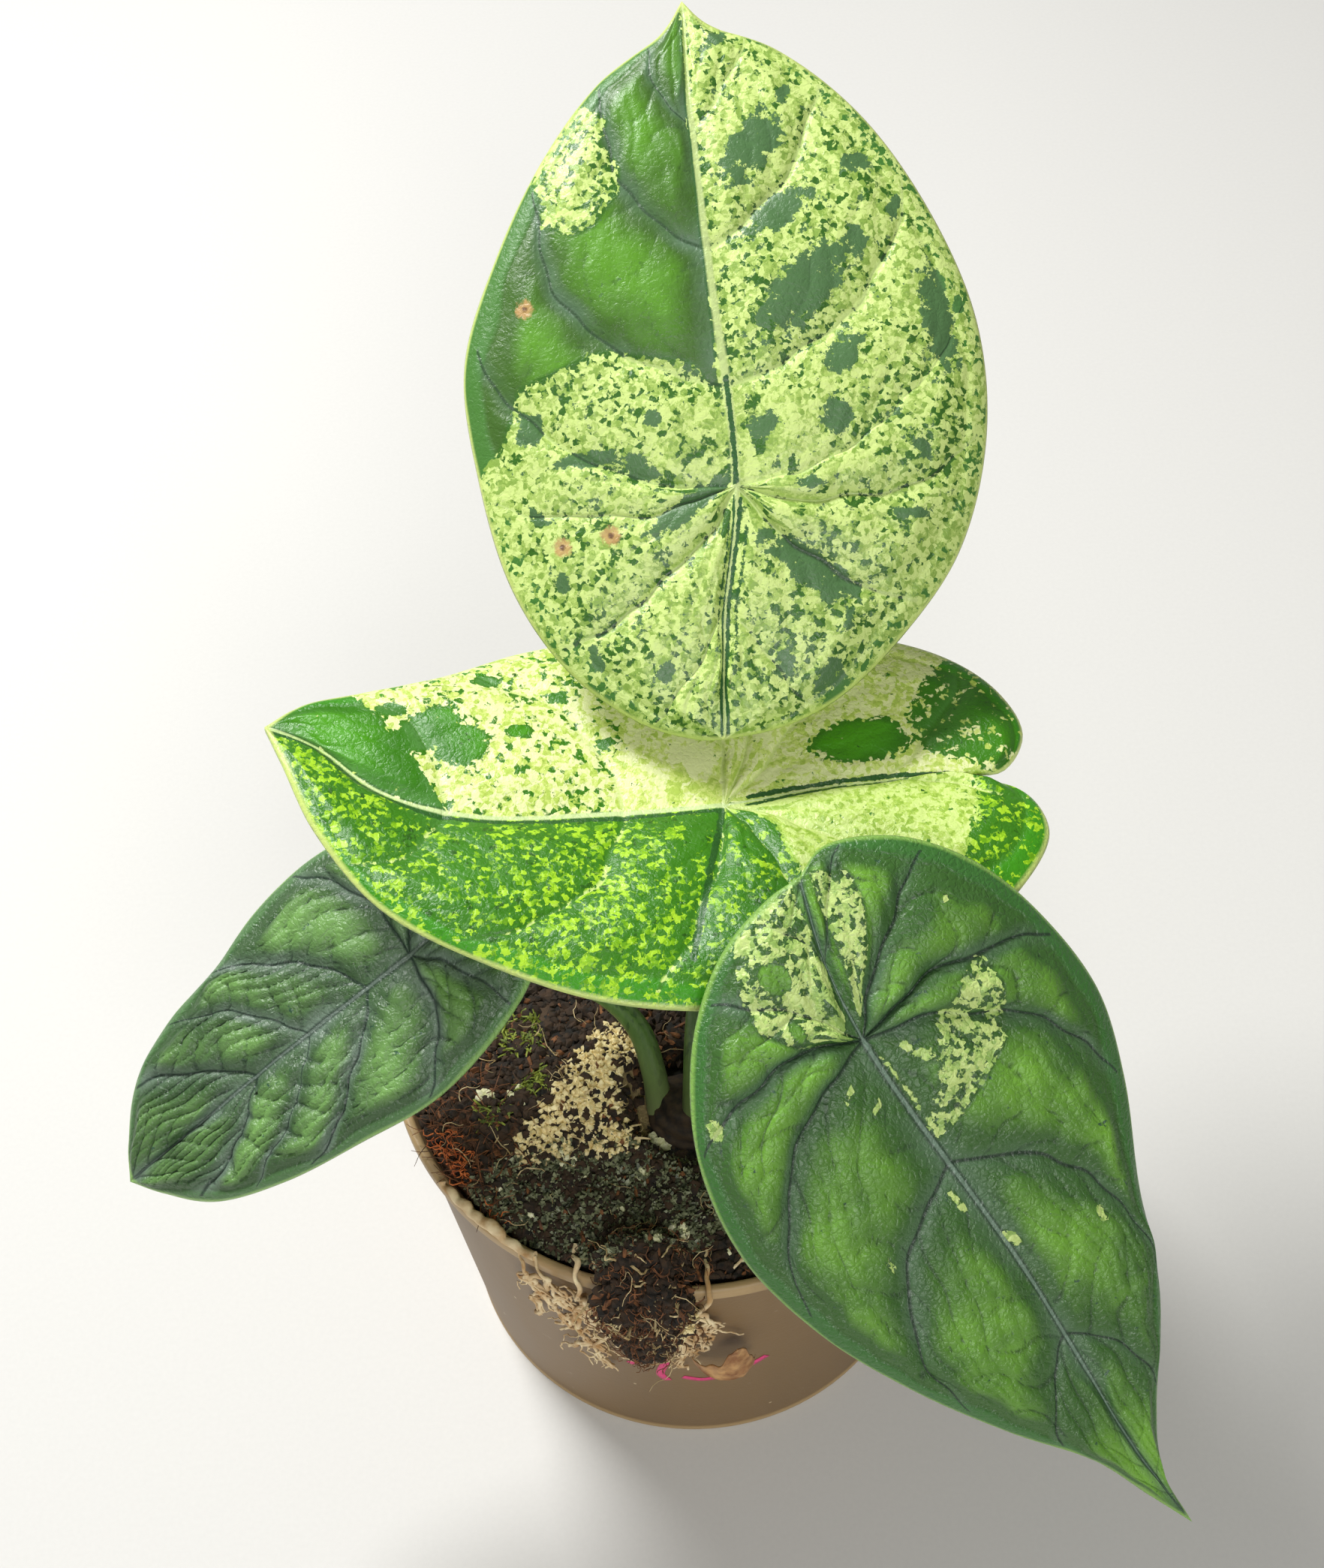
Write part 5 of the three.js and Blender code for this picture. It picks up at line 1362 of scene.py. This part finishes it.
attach(scrap, "root")

# Pen strokes: two plain dashes of pink marker on the front wall. Each is a film of dry ink, a
# twentieth of a millimetre thick, that follows the curve of the wall.

# Marker ink: an even pink film, satin, a touch darker where it is thick.
pen_ink = simple_material("pink_marker_ink", "#ec4484", "#d23c72", 900, 0.5)
# seen from the front: x and z in millimetres
DASHES = [
    [(-15.5, 41), (-11.5, 45.5), (-8, 46), (-8.8, 41), (-9.2, 37), (-7.8, 33.5)],
    [(-4.6, 36), (-0.5, 34.2), (4, 35.6), (8.5, 38.5), (13, 42.5)],
]
for number, dash in enumerate(DASHES):
    line = smooth_curve(dash, 12)
    way = np.gradient(line, axis=0)
    way /= np.linalg.norm(way, axis=1)[:, None]
    points = []
    for (x, z), (dx, dz) in zip(line, way):
        for side in (-0.9, 0.9):
            px, pz = x - dz * side, z + dx * side
            reach = wall_radius(pz) + 0.06
            points.append((px * MM, -math.sqrt(reach**2 - px**2) * MM, pz * MM))
    faces = [(2 * i, 2 * i + 2, 2 * i + 3, 2 * i + 1) for i in range(len(line) - 1)]
    stroke = new_piece("pen_dash_" + str(number + 1), points, faces, pen_ink)
    film = stroke.modifiers.new("film", "SOLIDIFY")
    film.thickness = 0.05 * MM
    film.offset = 1
    bake_modifiers(stroke)
    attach(stroke, "root")

# The setting: a plain pale floor, a broad soft lamp overhead and behind, a fill from the front, and
# the camera where the photograph was taken from.

# Backdrop paper: matt and off-white, with a faint tooth 1 mm wide.
floor_paper, tree, shader, place = new_material("matte_backdrop_paper")
tone = blend(tree, noisy(tree, place, 900, 3), "#d9d8d4", "#dfdeda")
fill(tree, shader, {"Base Color": tone, "Roughness": 0.9})
floor = new_piece("floor", [(-4, -4, 0), (4, -4, 0), (4, 4, 0), (-4, 4, 0)], [(0, 1, 2, 3)], floor_paper)

world = bpy.data.worlds.new("soft_room")
world.use_nodes = True
sky = {"Color": linear("#f0eee8"), "Strength": 0.22}
fill(world.node_tree, world.node_tree.nodes["Background"], sky)
bpy.context.scene.world = world
LAMPS = [
    ("overhead", (-0.45, 0.5, 1.0), 0.35, 14.5),
    ("front_fill", (0.15, -1.1, 0.95), 0.6, 9.0),
]
for name, spot, size, power in LAMPS:
    lamp = bpy.data.lights.new(name, "AREA")
    lamp.shape = "DISK"
    lamp.size = size
    lamp.energy = power
    holder = bpy.data.objects.new(name, lamp)
    aim = Vector((0, 0, 0.1)) - Vector(spot)
    holder.matrix_world = Matrix.Translation(spot) @ aim.to_track_quat("-Z", "Y").to_matrix().to_4x4()
    bpy.context.collection.objects.link(holder)

CAMERA_AT = Vector((-1.3, -242.5, 484.1)) * MM
CAMERA_DOWN = math.radians(52.42)
CAMERA_ROLL = math.radians(-3.56)
FOCAL_PIXELS = 3000
PHOTO_HEIGHT = 2089
camera_data = bpy.data.cameras.new("camera")
camera_data.sensor_width = 36
camera_data.lens = 36 * FOCAL_PIXELS / PHOTO_HEIGHT
camera_data.clip_start = 0.01
camera = bpy.data.objects.new("camera", camera_data)
gaze = Vector((0, math.cos(CAMERA_DOWN), -math.sin(CAMERA_DOWN)))
level_right = Vector((1, 0, 0))
level_up = Vector((0, math.sin(CAMERA_DOWN), math.cos(CAMERA_DOWN)))
turned_right = math.cos(CAMERA_ROLL) * level_right + math.sin(CAMERA_ROLL) * level_up
turned_up = math.cos(CAMERA_ROLL) * level_up - math.sin(CAMERA_ROLL) * level_right
facing = Matrix((turned_right, turned_up, -gaze)).transposed().to_4x4()
camera.matrix_world = Matrix.Translation(CAMERA_AT) @ facing
bpy.context.collection.objects.link(camera)
bpy.context.scene.camera = camera
bpy.context.scene.view_settings.view_transform = "Standard"
